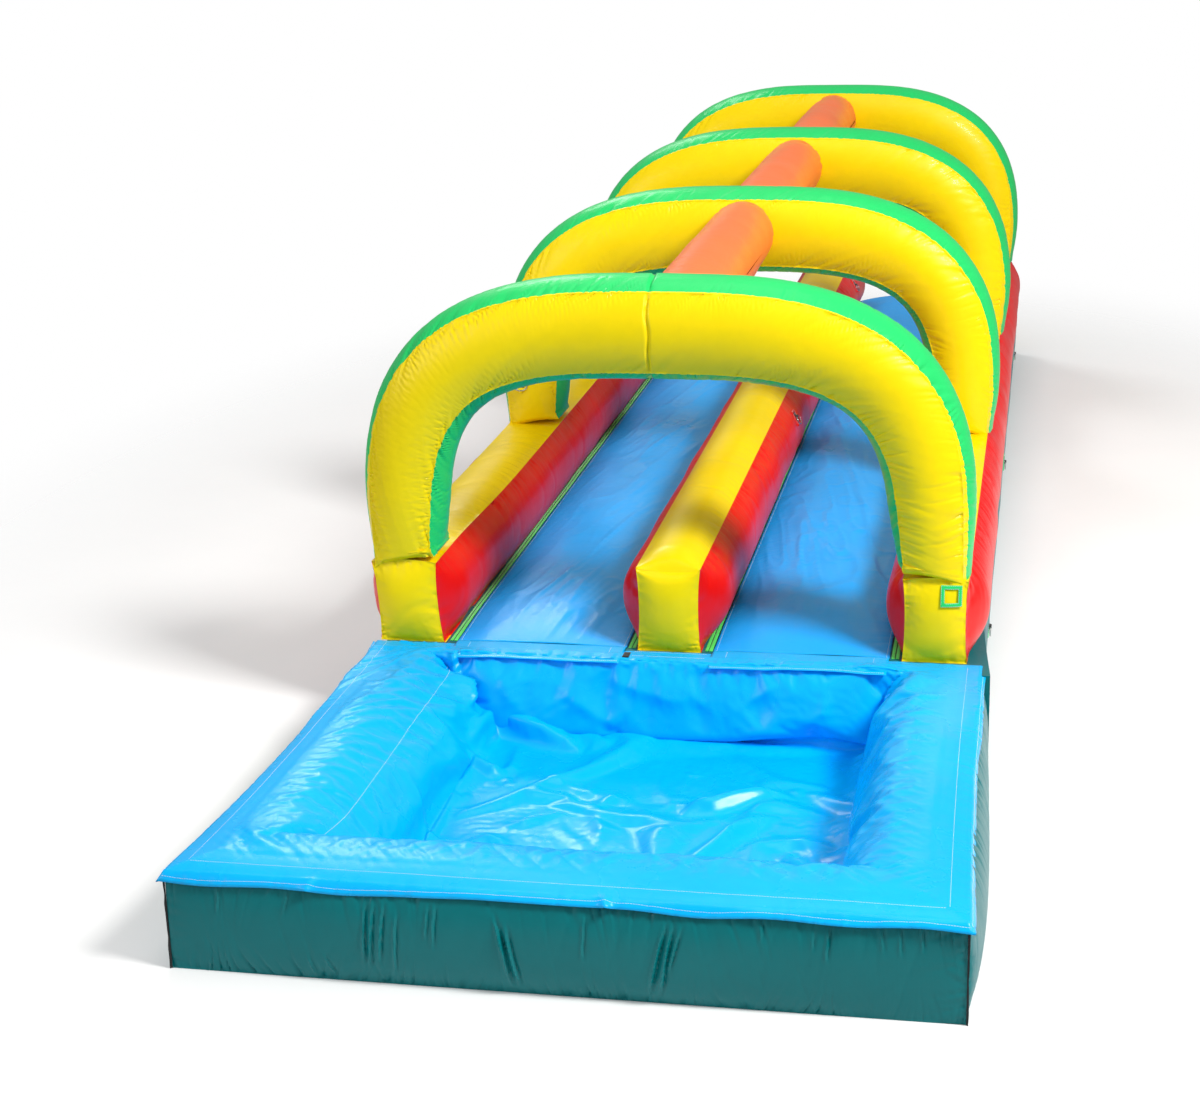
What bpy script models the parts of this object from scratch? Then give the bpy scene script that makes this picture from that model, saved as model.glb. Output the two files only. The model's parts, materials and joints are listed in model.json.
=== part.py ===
"""Inflatable two-lane water slide with a splash pool, four arches and a ridge tube.

Metres, +Z up. X runs across the slide. The plan's Y runs from the pool's front seam to the
far end of the lanes, and the empty that carries every piece centres it on the world's origin.
Every chamber is modelled blown up: its skin is held at the seams and swells between them.
"""

import math

import bmesh
import bpy
from mathutils import Matrix, Vector

# Fits shared by all pieces
touch_gap = 0.0003
cut_overrun = 0.05
skin = 0.006
least_station_step = 0.006

# Base: the pool at the front and the lane bed behind it
base_height = 0.449
pool_seam_width = 3.35
pool_length = 2.75
lane_seam_width = 3.20
side_easing = 1.40
front_bulge = 0.05
pool_side_bulge = 0.06
bed_side_bulge = 0.03
rear_bulge = 0.05
rear_easing = 0.35

# Pool: three bumpers, a ground mat and the liner draped over them
bumper_width = 0.50
bumper_roll_radius = 0.160
bumper_crown = 0.035
bumper_joint_step = 0.012
floor_thickness = 0.012
liner_thickness = 0.004
liner_hem_overhang = 0.020
liner_hem_drop = 0.022
liner_band = 0.145
liner_ramp = 0.26
liner_swag = 0.070
liner_floor_fold = 0.035

# Lanes: a crowned bed, a cover on each, its fastening strips and its front flap
lane_crown = 0.070
lane_lip = 0.180
crown_easing = 0.60
strip_margin = 0.062
strip_inset = 0.015
strip_width = 0.040
strip_thickness = 0.003
cover_thickness = 0.005
cover_rear_margin = 0.02
flap_length = 0.235
flap_thickness = 0.005
flap_droop = 0.012
flap_gap = 0.001

# Side walls and centre divider
wall_setback = 0.156
wall_width = 0.336
wall_centre = 1.385
wall_seam_height = 0.894
wall_bulge = 0.100
wall_crown = 0.050
divider_width = 0.340
divider_seam_height = 0.907
divider_bulge = 0.120
divider_crown = 0.075
cap_bulge = 0.050
cap_easing = 0.30

# Arches and the ridge tubes between them
arch_pitch = 2.984
arch_depth = 0.350
arch_leg_height = 0.056
arch_half_span = 1.396
arch_crown_height = 2.158
arch_leg_seam_width = 0.304
arch_crown_seam_width = 0.416
arch_face_bulge = 0.065
arch_band_bulge = 0.062
arch_root_easing = 0.10
arch_leans = (0.040, 0, 0, 0)
arch_rear_margin = 0.012
ridge_radius = 0.213

# Inside the lane bed: upright baffles and the ports that feed the walls
baffle_thickness = 0.001
baffle_end_space = 0.30
port_radius = 0.060

# Tether rings on webbing anchors
ring_rod_radius = 0.004
ring_width = 0.090
ring_drop = 0.055
sleeve_radius = 0.008
sleeve_length = 0.050
ring_play = 0.0006
anchor_patch = 0.110
anchor_patch_thickness = 0.003
anchor_seat_depth = 0.014
base_anchor_setback = 1.60
base_anchor_pitch = 3.60
base_anchor_height = 0.150
arch_anchor_shift = 0.062
arch_anchor_rise = 0.235
divider_anchor_setback = 3.694
divider_anchor_pitch = 4.65

# Square frame sewn on the right wall's front cap
frame_size = 0.110
frame_band = 0.020
frame_thickness = 0.004
frame_side_margin = 0.031
frame_top_margin = 0.014

# Air inlet sleeve and deflation zip on the rear face
inlet_offset = 1.00
inlet_height = 0.205
inlet_radius = 0.120
inlet_cloth = 0.004
inlet_length = 0.300
strap_width = 0.030
strap_thickness = 0.003
strap_setback = 0.060
zip_offset = 1.00
zip_height = 0.130
zip_length = 0.500
zip_tape_height = 0.035
zip_tape_thickness = 0.003
slider_width = 0.014
slider_height = 0.020
slider_thickness = 0.0065
slider_end_margin = 0.015
zip_flap_hinge_height = 0.190
zip_flap_drop = 0.100
zip_flap_overlap = 0.030
zip_flap_hem_radius = 0.007
zip_flap_thickness = 0.002

# Counts and shares
arch_count = 4
roll_segments = 5
top_segments = 4
arch_arc_segments = 20
arch_leg_segments = 1
panel_segments = 4
ridge_sides = 20
port_sides = 12
ring_arc_segments = 8
base_anchors_a_side = 3
divider_anchors = 2
swell_shares = (0, 0.25, 0.5, 0.75, 1)
lane_station_shares = (0.22, 0.42, 0.58, 0.78)
bulge_power_share = 0.5
arch_roundness_share = 0.635
side_shares = (0, 0.05, 0.16, 0.32, 0.50, 0.68, 0.86, 1)
side_crown_shares = (1, 1, 1, 1, 1, 1, 0, 0)
cross_shares = (0, 0.04, 0.12, 0.25, 0.38, 0.50, 0.62, 0.75, 0.88, 0.96, 1)
liner_floor_shares = (0.34, 0.62, 0.86)
flat_angle = math.radians(0.01)
cap_station_shares = (0, 0.2, 0.5, 1)
bay_station_shares = (0.2, 0.5, 0.8)
easing_shares = (0.5, 1)
middle_share = 0.5
slope_share = 0.1
divider_anchor_share = 0.755
liner_slack_power = 4
liner_hang_power = 16
liner_swags = 4
liner_waves = 4
diamond_turn = math.radians(45)

# Sizes that follow from those above
pool_half_width = pool_seam_width / 2
lane_half_width = lane_seam_width / 2
lane_inner = divider_width / 2
lane_outer = wall_centre - wall_width / 2
wall_outer = wall_centre + wall_width / 2
cover_inner = lane_inner + strip_margin
cover_outer = lane_outer - strip_margin
floor_top = floor_thickness
crown_start = pool_length + lane_lip
wall_front = pool_length + wall_setback
arch_spring_height = wall_seam_height + arch_leg_height
arch_fronts = [wall_front + arch_pitch * index for index in range(arch_count)]
arch_anchor_height = arch_spring_height + arch_anchor_rise
divider_anchor_height = base_height + (divider_seam_height - base_height) * divider_anchor_share
body_length = arch_fronts[-1] + arch_depth + arch_rear_margin
middle_y = (body_length + rear_bulge + inlet_length - front_bulge) / 2

# Colours, as linear values of the photographed vinyl
teal = (0.003, 0.168, 0.188)
blue = (0.010, 0.320, 0.800)
yellow = (0.840, 0.640, 0.010)
red = (0.780, 0.030, 0.030)
green = (0.090, 0.620, 0.220)
orange = (0.950, 0.300, 0.120)
lime = (0.150, 0.750, 0.180)
black = (0.015, 0.015, 0.018)
white = (0.700, 0.720, 0.700)
steel = (0.560, 0.550, 0.540)


def clear_scene():
    for old in list(bpy.data.objects):
        bpy.data.objects.remove(old)


def new_collection(name):
    collection = bpy.data.collections.new(name)
    bpy.context.scene.collection.children.link(collection)
    return collection


def material(name, colour, roughness, metallic=0.0):
    made = bpy.data.materials.new(name)
    made.use_nodes = True
    shader = made.node_tree.nodes["Principled BSDF"]
    shader.inputs["Base Color"].default_value = (*colour, 1)
    shader.inputs["Roughness"].default_value = roughness
    shader.inputs["Metallic"].default_value = metallic
    made.diffuse_color = (*colour, 1)
    return made


def swell(share):
    """How far a skin swells between two seams: 0 at each seam and 1 midway."""
    return 1 - (2 * share - 1) ** 2


def faceted_swell(share):
    """The swell of a face that is straight between the stations of swell_shares."""
    for low, high in zip(swell_shares, swell_shares[1:]):
        if share <= high:
            return swell(low) + (swell(high) - swell(low)) * (share - low) / (high - low)
    return 0


def ease(share):
    """Rises smoothly from 0 to 1 while share goes from 0 to 1, and stays there."""
    return math.sin(math.pi / 2 * min(max(share, 0), 1))


def between(low, high, shares):
    return [low + (high - low) * share for share in shares]


def base_half_width(y):
    """Half the width between the base's seams, which narrows behind the pool."""
    return pool_half_width + (lane_half_width - pool_half_width) * ease((y - pool_length) / side_easing)


def add_object(name, mesh, place=Vector(), finish=None, collection=None):
    """Turns a bmesh into an object whose origin is at place, carried by the root empty."""
    bmesh.ops.translate(mesh, verts=mesh.verts, vec=-place)
    bmesh.ops.recalc_face_normals(mesh, faces=mesh.faces)
    data = bpy.data.meshes.new(name)
    mesh.to_mesh(data)
    mesh.free()
    made = bpy.data.objects.new(name, data)
    (collection or parts).objects.link(made)
    made.parent = root
    made.location = place
    if finish:
        data.materials.append(finish)
    if collection is cutters:
        made.hide_render = True
        made.display_type = "WIRE"
    return made


def cut(piece, cutter, operation="DIFFERENCE"):
    modifier = piece.modifiers.new(cutter.name, "BOOLEAN")
    modifier.object = cutter
    modifier.operation = operation
    modifier.solver = "EXACT"


def settle_faces(mesh):
    """Joins faces that lie in one plane, then splits the rest along their shorter diagonals."""
    bmesh.ops.dissolve_limit(mesh, angle_limit=flat_angle, verts=mesh.verts, edges=mesh.edges)
    bmesh.ops.triangulate(mesh, faces=mesh.faces, quad_method="SHORT_EDGE", ngon_method="BEAUTY")


def block_mesh(xs, ys, zs, shape=None):
    """A cube stretched to the outer stations, cut at the inner ones and then swollen by shape."""
    mesh = bmesh.new()
    bmesh.ops.create_cube(mesh, size=1)
    for axis, stations in enumerate((xs, ys, zs)):
        low, high = stations[0], stations[-1]
        for vertex in mesh.verts:
            vertex.co[axis] = (low + high) / 2 + vertex.co[axis] * (high - low)
        square = Vector((axis == 0, axis == 1, axis == 2))
        for station in stations[1:-1]:
            whole = mesh.verts[:] + mesh.edges[:] + mesh.faces[:]
            bmesh.ops.bisect_plane(mesh, geom=whole, plane_co=square * station, plane_no=square)
    if shape:
        spans = [(stations[0], stations[-1]) for stations in (xs, ys, zs)]
        for vertex in mesh.verts:
            point = vertex.co.copy()
            shares = [(point[axis] - low) / (high - low) for axis, (low, high) in enumerate(spans)]
            vertex.co = shape(point, *shares)
        settle_faces(mesh)
    return mesh


def loft_mesh(sections, closed=False):
    """Faces between sections that have the same count of points, with a flat cap at each end."""
    mesh = bmesh.new()
    rows = [[mesh.verts.new(point) for point in section] for section in sections]
    pairs = list(zip(rows, rows[1:]))
    if closed:
        pairs.append((rows[-1], rows[0]))
    for row, following in pairs:
        for index in range(len(row)):
            after = (index + 1) % len(row)
            mesh.faces.new((row[index], row[after], following[after], following[index]))
    if not closed:
        mesh.faces.new(rows[0])
        mesh.faces.new(reversed(rows[-1]))
    return mesh


def cylinder_mesh(radius, start, end, sides):
    """A closed cylinder between two points."""
    mesh = bmesh.new()
    along = end - start
    turn = along.to_track_quat("Z", "Y").to_matrix().to_4x4()
    half_side = Matrix.Rotation(math.pi / sides, 4, "Z")
    place = Matrix.Translation((start + end) / 2) @ turn @ half_side
    bmesh.ops.create_cone(
        mesh,
        cap_ends=True,
        segments=sides,
        radius1=radius,
        radius2=radius,
        depth=along.length,
        matrix=place,
    )
    return mesh


def offset_outline(points, distance):
    """The points of an open outline moved square to it, to its left, with mitred corners."""
    moved = []
    for index, point in enumerate(points):
        before = points[max(index - 1, 0)]
        after = points[min(index + 1, len(points) - 1)]
        normals = []
        for start, end in ((before, point), (point, after)):
            run = Vector((end[0] - start[0], end[1] - start[1]))
            if run.length > 0:
                normals.append(Vector((-run.y, run.x)).normalized())
        middle = sum(normals, Vector((0, 0))).normalized()
        reach = distance / middle.dot(normals[0])
        moved.append((point[0] + middle.x * reach, point[1] + middle.y * reach))
    return moved


def lane_stations():
    inner = between(cover_inner, cover_outer, lane_station_shares)
    return [lane_inner, cover_inner, *inner, cover_outer, lane_outer]


def lane_height(x, y):
    """The top of the lane bed, straight between the lane's stations."""
    rise = lane_crown * ease((y - crown_start) / crown_easing)
    stations = lane_stations()
    width = lane_outer - lane_inner
    for low, high in zip(stations, stations[1:]):
        if low <= abs(x) <= high:
            ends = [swell((station - lane_inner) / width) for station in (low, high)]
            return base_height + rise * (ends[0] + (ends[1] - ends[0]) * (abs(x) - low) / (high - low))
    return base_height


def lane_lengths(start, end):
    """Stations along the lane between start and end, with those of the crown's easing."""
    easing = between(crown_start, crown_start + crown_easing, swell_shares)
    return [start] + [station for station in easing if start < station < end] + [end]


def bed_mesh(clearance=0.0, inset=0.0):
    """The lane bed, larger all round by clearance or smaller by inset."""
    grow = clearance - inset
    half = lane_half_width
    lane = lane_stations()
    xs = [-half - grow, -wall_outer] + [-x for x in reversed(lane)]
    xs += lane + [wall_outer, half + grow]
    ys = lane_lengths(pool_length - grow, body_length + grow)
    ys = sorted([*ys, *between(crown_start + crown_easing, pool_length + side_easing, easing_shares)])
    top = base_height + grow
    zs = between(-grow, top, swell_shares)

    def shape(point, across, along, up):
        placed = point.copy()
        if across < touch_gap or across > 1 - touch_gap:
            bulge = bed_side_bulge * swell(up) * ease((point.y - pool_length) / side_easing)
            placed.x = math.copysign(base_half_width(point.y) + bulge + grow, point.x)
        if up > 1 - touch_gap:
            placed.z = lane_height(point.x, point.y) + grow
        if along > 1 - touch_gap:
            edge = ease((half - abs(point.x)) / rear_easing)
            placed.y = body_length + grow + rear_bulge * swell(up) * edge
        return placed

    return block_mesh(xs, ys, zs, shape)


def wall_span(side, clearance=0.0):
    """Across, along and upward limits of a side wall, or of the divider where side is 0."""
    half = (wall_width if side else divider_width) / 2 + clearance
    centre = side * wall_centre
    top = (wall_seam_height if side else divider_seam_height) + clearance
    front = wall_front - clearance
    return centre - half, centre + half, front, body_length + clearance, base_height + touch_gap, top


def wall_lengths(side, front, rear):
    """Stations along a wall: close together at its caps, and at every arch leg and bay."""
    stations = between(front, front + cap_easing, cap_station_shares)
    stations += between(rear, rear - cap_easing, cap_station_shares)
    if side:
        for start in arch_fronts:
            stations += [start, start + arch_depth]
        for start in arch_fronts[:-1]:
            bay = between(start + arch_depth, start + arch_pitch, bay_station_shares)
            stations += bay
    stations = sorted(station for station in stations if front <= station <= rear)
    kept = [stations[0]]
    for station in stations[1:]:
        if station - kept[-1] > least_station_step:
            kept.append(station)
    kept[-1] = rear
    return kept


def bay_share(y):
    """0 where an arch leg stands on the wall and up to 1 midway between two arches."""
    for start in arch_fronts[:-1]:
        low, high = start + arch_depth, start + arch_pitch
        if low < y < high:
            return swell((y - low) / (high - low))
    return 0


def wall_shape(side, clearance=0.0):
    left, right, front, rear, low, top = wall_span(side, clearance)
    bulge = wall_bulge if side else divider_bulge

    def shape(point, across, along, up):
        placed = point.copy()
        run = min(point.y - front, rear - point.y)
        swollen = bulge * swell(up) * ease(run / cap_easing)
        placed.x += swollen * (2 * across - 1)
        if along < touch_gap:
            placed.y -= cap_bulge * swell(up) * swell(across)
        if along > 1 - touch_gap:
            placed.y += cap_bulge * swell(up) * swell(across)
        if up > 1 - touch_gap:
            if side:
                placed.z += wall_crown * swell(across) * bay_share(point.y)
            else:
                placed.z += divider_crown * swell(across) * ease(run / cap_easing)
        return placed

    return shape


def wall_mesh(side, clearance=0.0):
    left, right, front, rear, low, top = wall_span(side, clearance)
    xs = between(left, right, swell_shares)
    zs = between(low - clearance, top, swell_shares)
    ys = wall_lengths(side, front, rear)
    return block_mesh(xs, ys, zs, wall_shape(side, clearance))


def wall_hollow_mesh(side):
    """The air space of a wall or of the divider, one skin in from its panels."""
    left, right, front, rear, low, top = wall_span(side, -skin)
    xs = (left, right)
    ys = (front, front + cap_easing, rear - cap_easing, rear)
    zs = between(low + skin, top, swell_shares)
    bulge = wall_bulge if side else divider_bulge

    def shape(point, across, along, up):
        run = min(point.y - front, rear - point.y)
        point.x += bulge * swell(up) * ease(run / cap_easing) * (2 * across - 1)
        return point

    return block_mesh(xs, ys, zs, shape)


def arch_path():
    """Places along an arch's middle line: each a point, an outward direction and a seam width."""
    arc = []
    fine = arch_arc_segments * arch_arc_segments
    for step in range(fine + 1):
        turn = math.pi * step / fine
        x = math.copysign(abs(math.cos(turn)) ** arch_roundness_share, math.cos(turn))
        z = max(math.sin(turn), 0) ** arch_roundness_share
        rise = arch_crown_height - arch_spring_height
        arc.append(Vector((arch_half_span * x, arch_spring_height + rise * z)))
    lengths = [0]
    for start, end in zip(arc, arc[1:]):
        lengths.append(lengths[-1] + (end - start).length)
    places = []
    for step in range(arch_arc_segments + 1):
        wanted = lengths[-1] * step / arch_arc_segments
        index = min(range(len(lengths)), key=lambda near: abs(lengths[near] - wanted))
        along = arc[min(index + 1, fine)] - arc[max(index - 1, 0)]
        outward = Vector((along.y, -along.x)).normalized()
        up = (arc[index].y - arch_spring_height) / (arch_crown_height - arch_spring_height)
        width = arch_leg_seam_width + (arch_crown_seam_width - arch_leg_seam_width) * up
        places.append((arc[index], outward, width))
    foot = wall_seam_height + touch_gap
    legs = []
    for step in range(arch_leg_segments):
        share = step / arch_leg_segments
        x = wall_centre + (arch_half_span - wall_centre) * ease(share)
        z = foot + (arch_spring_height - foot) * share
        width = wall_width + (arch_leg_seam_width - wall_width) * ease(share)
        legs.append((Vector((x, z)), Vector((1, 0)), width))
    right = legs + places
    left = [(Vector((-point.x, point.y)), Vector((-1, 0)), width) for point, _, width in reversed(legs)]
    return right + left


def arch_place(height):
    """Where the middle line of an arch's right leg stands at a height, and its seam width there."""
    places = arch_path()
    for (low, _, low_width), (high, _, high_width) in zip(places, places[1:]):
        if low.y <= height <= high.y:
            share = (height - low.y) / (high.y - low.y)
            return low.x + (high.x - low.x) * share, low_width + (high_width - low_width) * share
    return arch_half_span, arch_leg_seam_width


def arch_mesh(number, clearance=0.0):
    """One arch: a four-panel tube whose skins swell between the four seams."""
    front, lean = arch_fronts[number], arch_leans[number]
    sections = []
    for middle, outward, width in arch_path():
        rooted = ease((middle.y - wall_seam_height) / arch_root_easing)
        face = arch_face_bulge * rooted + clearance
        band = arch_band_bulge * rooted + clearance
        reach = width / 2
        section = []
        for step in range(panel_segments):
            share = step / panel_segments
            section.append((reach - width * share, -face * swell(share)))
        for step in range(panel_segments):
            share = step / panel_segments
            section.append((-reach - band * swell(share), arch_depth * share))
        for step in range(panel_segments):
            share = step / panel_segments
            section.append((-reach + width * share, arch_depth + face * swell(share)))
        for step in range(panel_segments):
            share = step / panel_segments
            section.append((reach + band * swell(share), arch_depth * (1 - share)))
        points = []
        for out, back in section:
            spot = middle + outward * out
            points.append(Vector((spot.x - lean * rooted, front + back, spot.y)))
        sections.append(points)
    return loft_mesh(sections)


def bumper_outline(crown):
    """Points (inset, height) from the outer seam over the rounded top and down inside the pool."""
    flat = bumper_width - bumper_roll_radius
    points = [(flat * step / top_segments, base_height) for step in range(top_segments)]
    for step in range(roll_segments + 1):
        turn = math.pi / 2 * step / roll_segments
        inset = flat + bumper_roll_radius * math.sin(turn)
        points.append((inset, base_height - bumper_roll_radius * (1 - math.cos(turn))))
    points.append((bumper_width, 0))
    return [(inset, height + crown * swell(inset / bumper_width)) for inset, height in points]


def bumper_section(crown, bulge):
    """A bumper's whole closed section, as points (inset, height)."""
    section = bumper_outline(crown)
    for share in swell_shares[:-1]:
        section.append((-bulge * swell(share), base_height * share))
    return section


def side_station(inset, share):
    """How far back a side bumper's station stands at an inset, from the mitre on."""
    return inset + (pool_length - bumper_joint_step - inset) * share


def side_bumper_mesh(side):
    """A side bumper from the mitre at the front to the lane bed."""
    sections = []
    for share, crown_share in zip(side_shares, side_crown_shares):
        bulge = pool_side_bulge * max(math.sin(math.pi * share**bulge_power_share), 0)
        section = []
        for inset, height in bumper_section(bumper_crown * crown_share, bulge):
            y = side_station(inset, share)
            section.append(Vector((side * (pool_half_width - inset), y, height)))
        sections.append(section)
    end = pool_length - touch_gap
    sections.append([Vector((point.x, end, point.z)) for point in sections[-1]])
    mesh = loft_mesh(sections)
    settle_faces(mesh)
    return mesh


def front_bumper_mesh():
    sections = []
    for share in cross_shares:
        bulge = front_bulge * max(math.sin(math.pi * share), 0) ** bulge_power_share
        section = []
        for inset, height in bumper_section(bumper_crown, bulge):
            x = (pool_half_width - inset - 2 * touch_gap) * (2 * share - 1)
            section.append(Vector((x, inset, height)))
        sections.append(section)
    mesh = loft_mesh(sections)
    settle_faces(mesh)
    return mesh


def liner_profile(crown):
    """The liner's touching side, as points (inset, height) from the pool's floor out to the hem."""
    floor = floor_top + touch_gap
    touch = offset_outline(bumper_outline(crown), touch_gap)
    points = [(bumper_width + touch_gap, floor)] + touch[-2::-1]
    points.append((-liner_hem_overhang / 2, base_height + touch_gap))
    points.append((-liner_hem_overhang, base_height - liner_hem_drop))
    return points


def liner_back(index):
    """Where the ring of this index runs along the lane bed: its Y and its height."""
    on_face = roll_segments + 1
    height = liner_profile(0)[index][1]
    if index <= on_face - 1:
        return pool_length - touch_gap, height
    last = len(liner_profile(0)) - 1
    share = (index - on_face) / (last - on_face)
    return pool_length - touch_gap + liner_band * share, base_height + touch_gap


def liner_fold(point, low_share):
    """Moves a point of the liner off its backing, into the pool, by its slack and its folds."""
    inner_half = pool_half_width - bumper_width
    across = point.x / inner_half
    along = (point.y - bumper_width) / (pool_length - bumper_width)
    folded = point.copy()
    slack = liner_ramp * low_share * swell(min(max(along, 0), 1))
    folded.x += slack * max(-across, 0) ** liner_slack_power
    swags = math.sin(math.pi * liner_swags * across) ** 2
    hang = swell(low_share) * min(max(along, 0), 1) ** liner_hang_power
    folded.y -= liner_swag * swags * hang
    return folded


def liner_ring(index):
    """One closed ring of the liner, at this index of its profile."""
    crowned = liner_profile(bumper_crown)[index]
    back, back_height = liner_back(index)
    inset, height = crowned
    half = pool_half_width - inset
    ring = [Vector((half * (2 * share - 1), inset, height)) for share in cross_shares[:-1]]
    sides = []
    for share, crown_share in zip(side_shares, side_crown_shares):
        side_inset, side_height = liner_profile(bumper_crown * crown_share)[index]
        y = side_station(side_inset, share)
        sides.append((pool_half_width - side_inset, y, side_height))
    ring += [Vector(point) for point in sides]
    back_half = pool_half_width - liner_profile(0)[index][0]
    ring += [Vector((back_half * (1 - 2 * share), back, back_height)) for share in cross_shares]
    ring += [Vector((-x, y, z)) for x, y, z in reversed(sides[1:])]
    if 0 < height < base_height and inset > 0:
        ring = [liner_fold(point, 1 - point.z / base_height) for point in ring]
    return ring


def liner_mesh():
    """The liner as rings from the pool's floor, over its walls and out to the hem."""
    mesh = bmesh.new()
    floor_ring = liner_ring(0)
    middle = sum(floor_ring, Vector()) / len(floor_ring)
    loops = []
    for share in liner_floor_shares:
        loop = []
        for point in floor_ring:
            spot = middle + (point - middle) * share
            wave = math.sin(math.pi * liner_waves * (spot.x / pool_half_width + share))
            spot.z += liner_floor_fold * (wave + 1) / 2
            loop.append(spot)
        loops.append(loop)
    loops += [liner_ring(index) for index in range(len(liner_profile(0)))]
    rows = [[mesh.verts.new(point) for point in loop] for loop in loops]
    mesh.faces.new(rows[0])
    for row, following in zip(rows, rows[1:]):
        for index in range(len(row)):
            after = (index + 1) % len(row)
            mesh.faces.new((row[index], row[after], following[after], following[index]))
    bmesh.ops.triangulate(mesh, faces=mesh.faces, quad_method="SHORT_EDGE", ngon_method="BEAUTY")
    return mesh


def build_bed():
    bed = add_object("lane_bed", bed_mesh(), Vector((0, pool_length, 0)), teal_vinyl)
    hollow = add_object("bed_hollow", bed_mesh(inset=skin), collection=cutters)
    cut(bed, hollow)
    rear = body_length + rear_bulge
    start = Vector((-inlet_offset, body_length - cut_overrun, inlet_height))
    end = Vector((-inlet_offset, rear + cut_overrun, inlet_height))
    mouth = cylinder_mesh(inlet_radius - inlet_cloth, start, end, ridge_sides)
    cut(bed, add_object("inlet_port", mouth, collection=cutters))
    return bed


def build_baffles():
    """Upright webs under the wall and divider seams, which keep the bed's top level there."""
    front = pool_length + baffle_end_space
    rear = body_length - baffle_end_space
    low, high = skin + touch_gap, base_height - skin - touch_gap
    lines = (lane_inner, lane_outer, wall_outer)
    for side, word in ((-1, "left"), (1, "right")):
        for line, place in zip(lines, ("inner", "middle", "outer")):
            x = side * (line - baffle_thickness * (line == lane_inner))
            xs = (x - baffle_thickness / 2, x + baffle_thickness / 2)
            mesh = block_mesh(xs, (front, rear), (low, high))
            add_object(f"bed_baffle_{word}_{place}", mesh, Vector((x, front, low)), white_fabric)


def build_pool():
    front = front_bumper_mesh()
    add_object("pool_front_bumper", front, Vector((0, 0, 0)), teal_vinyl)
    for side, word in ((-1, "left"), (1, "right")):
        place = Vector((side * pool_half_width, 0, 0))
        add_object(f"pool_{word}_bumper", side_bumper_mesh(side), place, teal_vinyl)
    half = pool_half_width - bumper_width - touch_gap
    ys = (bumper_width + touch_gap, pool_length - touch_gap)
    floor = block_mesh((-half, half), ys, (0, floor_thickness))
    add_object("pool_floor", floor, Vector((0, ys[0], 0)), teal_vinyl)
    liner = add_object("pool_liner", liner_mesh(), Vector((0, 0, 0)), blue_vinyl)
    shell = liner.modifiers.new("thickness", "SOLIDIFY")
    shell.thickness = liner_thickness
    shell.offset = 1
    shell.use_even_offset = True


def build_lanes():
    flap_z = base_height + touch_gap + liner_thickness + touch_gap
    for side, word in ((-1, "left"), (1, "right")):
        lane = [x for x in lane_stations() if cover_inner <= x <= cover_outer]
        xs = sorted(side * x for x in lane)
        ys = lane_lengths(crown_start + flap_gap, body_length - cover_rear_margin)

        def on_bed(point, across, along, up):
            point.z += lane_height(point.x, point.y)
            return point

        cover = block_mesh(xs, ys, (touch_gap, touch_gap + cover_thickness), on_bed)
        add_object(f"lane_cover_{word}", cover, Vector((side * lane_inner, ys[0], base_height)), blue_vinyl)

        inner = (lane_inner + strip_inset, lane_inner + strip_inset + strip_width)
        outer = (lane_outer - strip_inset - strip_width, lane_outer - strip_inset)
        for limits, place in ((inner, "inner"), (outer, "outer")):
            strip_xs = sorted(side * x for x in limits)
            strip = block_mesh(strip_xs, ys, (touch_gap, touch_gap + strip_thickness), on_bed)
            spot = Vector((strip_xs[0], ys[0], base_height))
            add_object(f"hook_strip_{word}_{place}", strip, spot, lime_strip)

        flap_front = crown_start - flap_length
        bend = pool_length - liner_thickness - 2 * touch_gap

        def drooped(point, across, along, up):
            if point.y < bend:
                point.z -= flap_droop * (bend - point.y) / (bend - flap_front)
            return point

        flap_xs = (min(xs), max(xs))
        flap_zs = (flap_z, flap_z + flap_thickness)
        flap = block_mesh(flap_xs, (flap_front, bend - touch_gap, crown_start), flap_zs, drooped)
        hinge = Vector((0, crown_start, flap_zs[1]))
        add_object(f"front_flap_{word}", flap, hinge, blue_vinyl)


def build_walls(bed):
    """Side walls and divider, hollow, with ports that open each into the lane bed."""
    for side, name in ((-1, "side_wall_left"), (1, "side_wall_right"), (0, "centre_divider")):
        finish = red_vinyl if side else yellow_vinyl
        place = Vector((side * wall_centre, wall_front, base_height))
        wall = add_object(name, wall_mesh(side), place, finish)
        hollow = add_object(f"{name}_hollow", wall_hollow_mesh(side), collection=cutters)
        cut(wall, hollow)
        for number, start in enumerate(arch_fronts[:-1], 1):
            y = start + (arch_depth + arch_pitch) / 2
            low = Vector((side * wall_centre, y, base_height - skin - cut_overrun))
            high = Vector((side * wall_centre, y, base_height + skin + cut_overrun))
            port = cylinder_mesh(port_radius, low, high, port_sides)
            port = add_object(f"{name}_port_{number}", port, collection=cutters)
            cut(wall, port)
            cut(bed, port)


def build_arches():
    seats = []
    for number, front in enumerate(arch_fronts):
        place = Vector((0, front, wall_seam_height))
        add_object(f"arch_{number + 1}", arch_mesh(number), place, yellow_vinyl)
        seat = arch_mesh(number, touch_gap)
        seats.append(add_object(f"arch_{number + 1}_seat", seat, collection=cutters))
    for number, front in enumerate(arch_fronts[:-1], 1):
        start = Vector((0, front + arch_depth / 2, arch_crown_height))
        end = start + Vector((0, arch_pitch, 0))
        tube = cylinder_mesh(ridge_radius, start, end, ridge_sides)
        tube = add_object(f"ridge_tube_{number}", tube, start, orange_vinyl)
        cut(tube, seats[number - 1])
        cut(tube, seats[number])
    return seats


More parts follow.
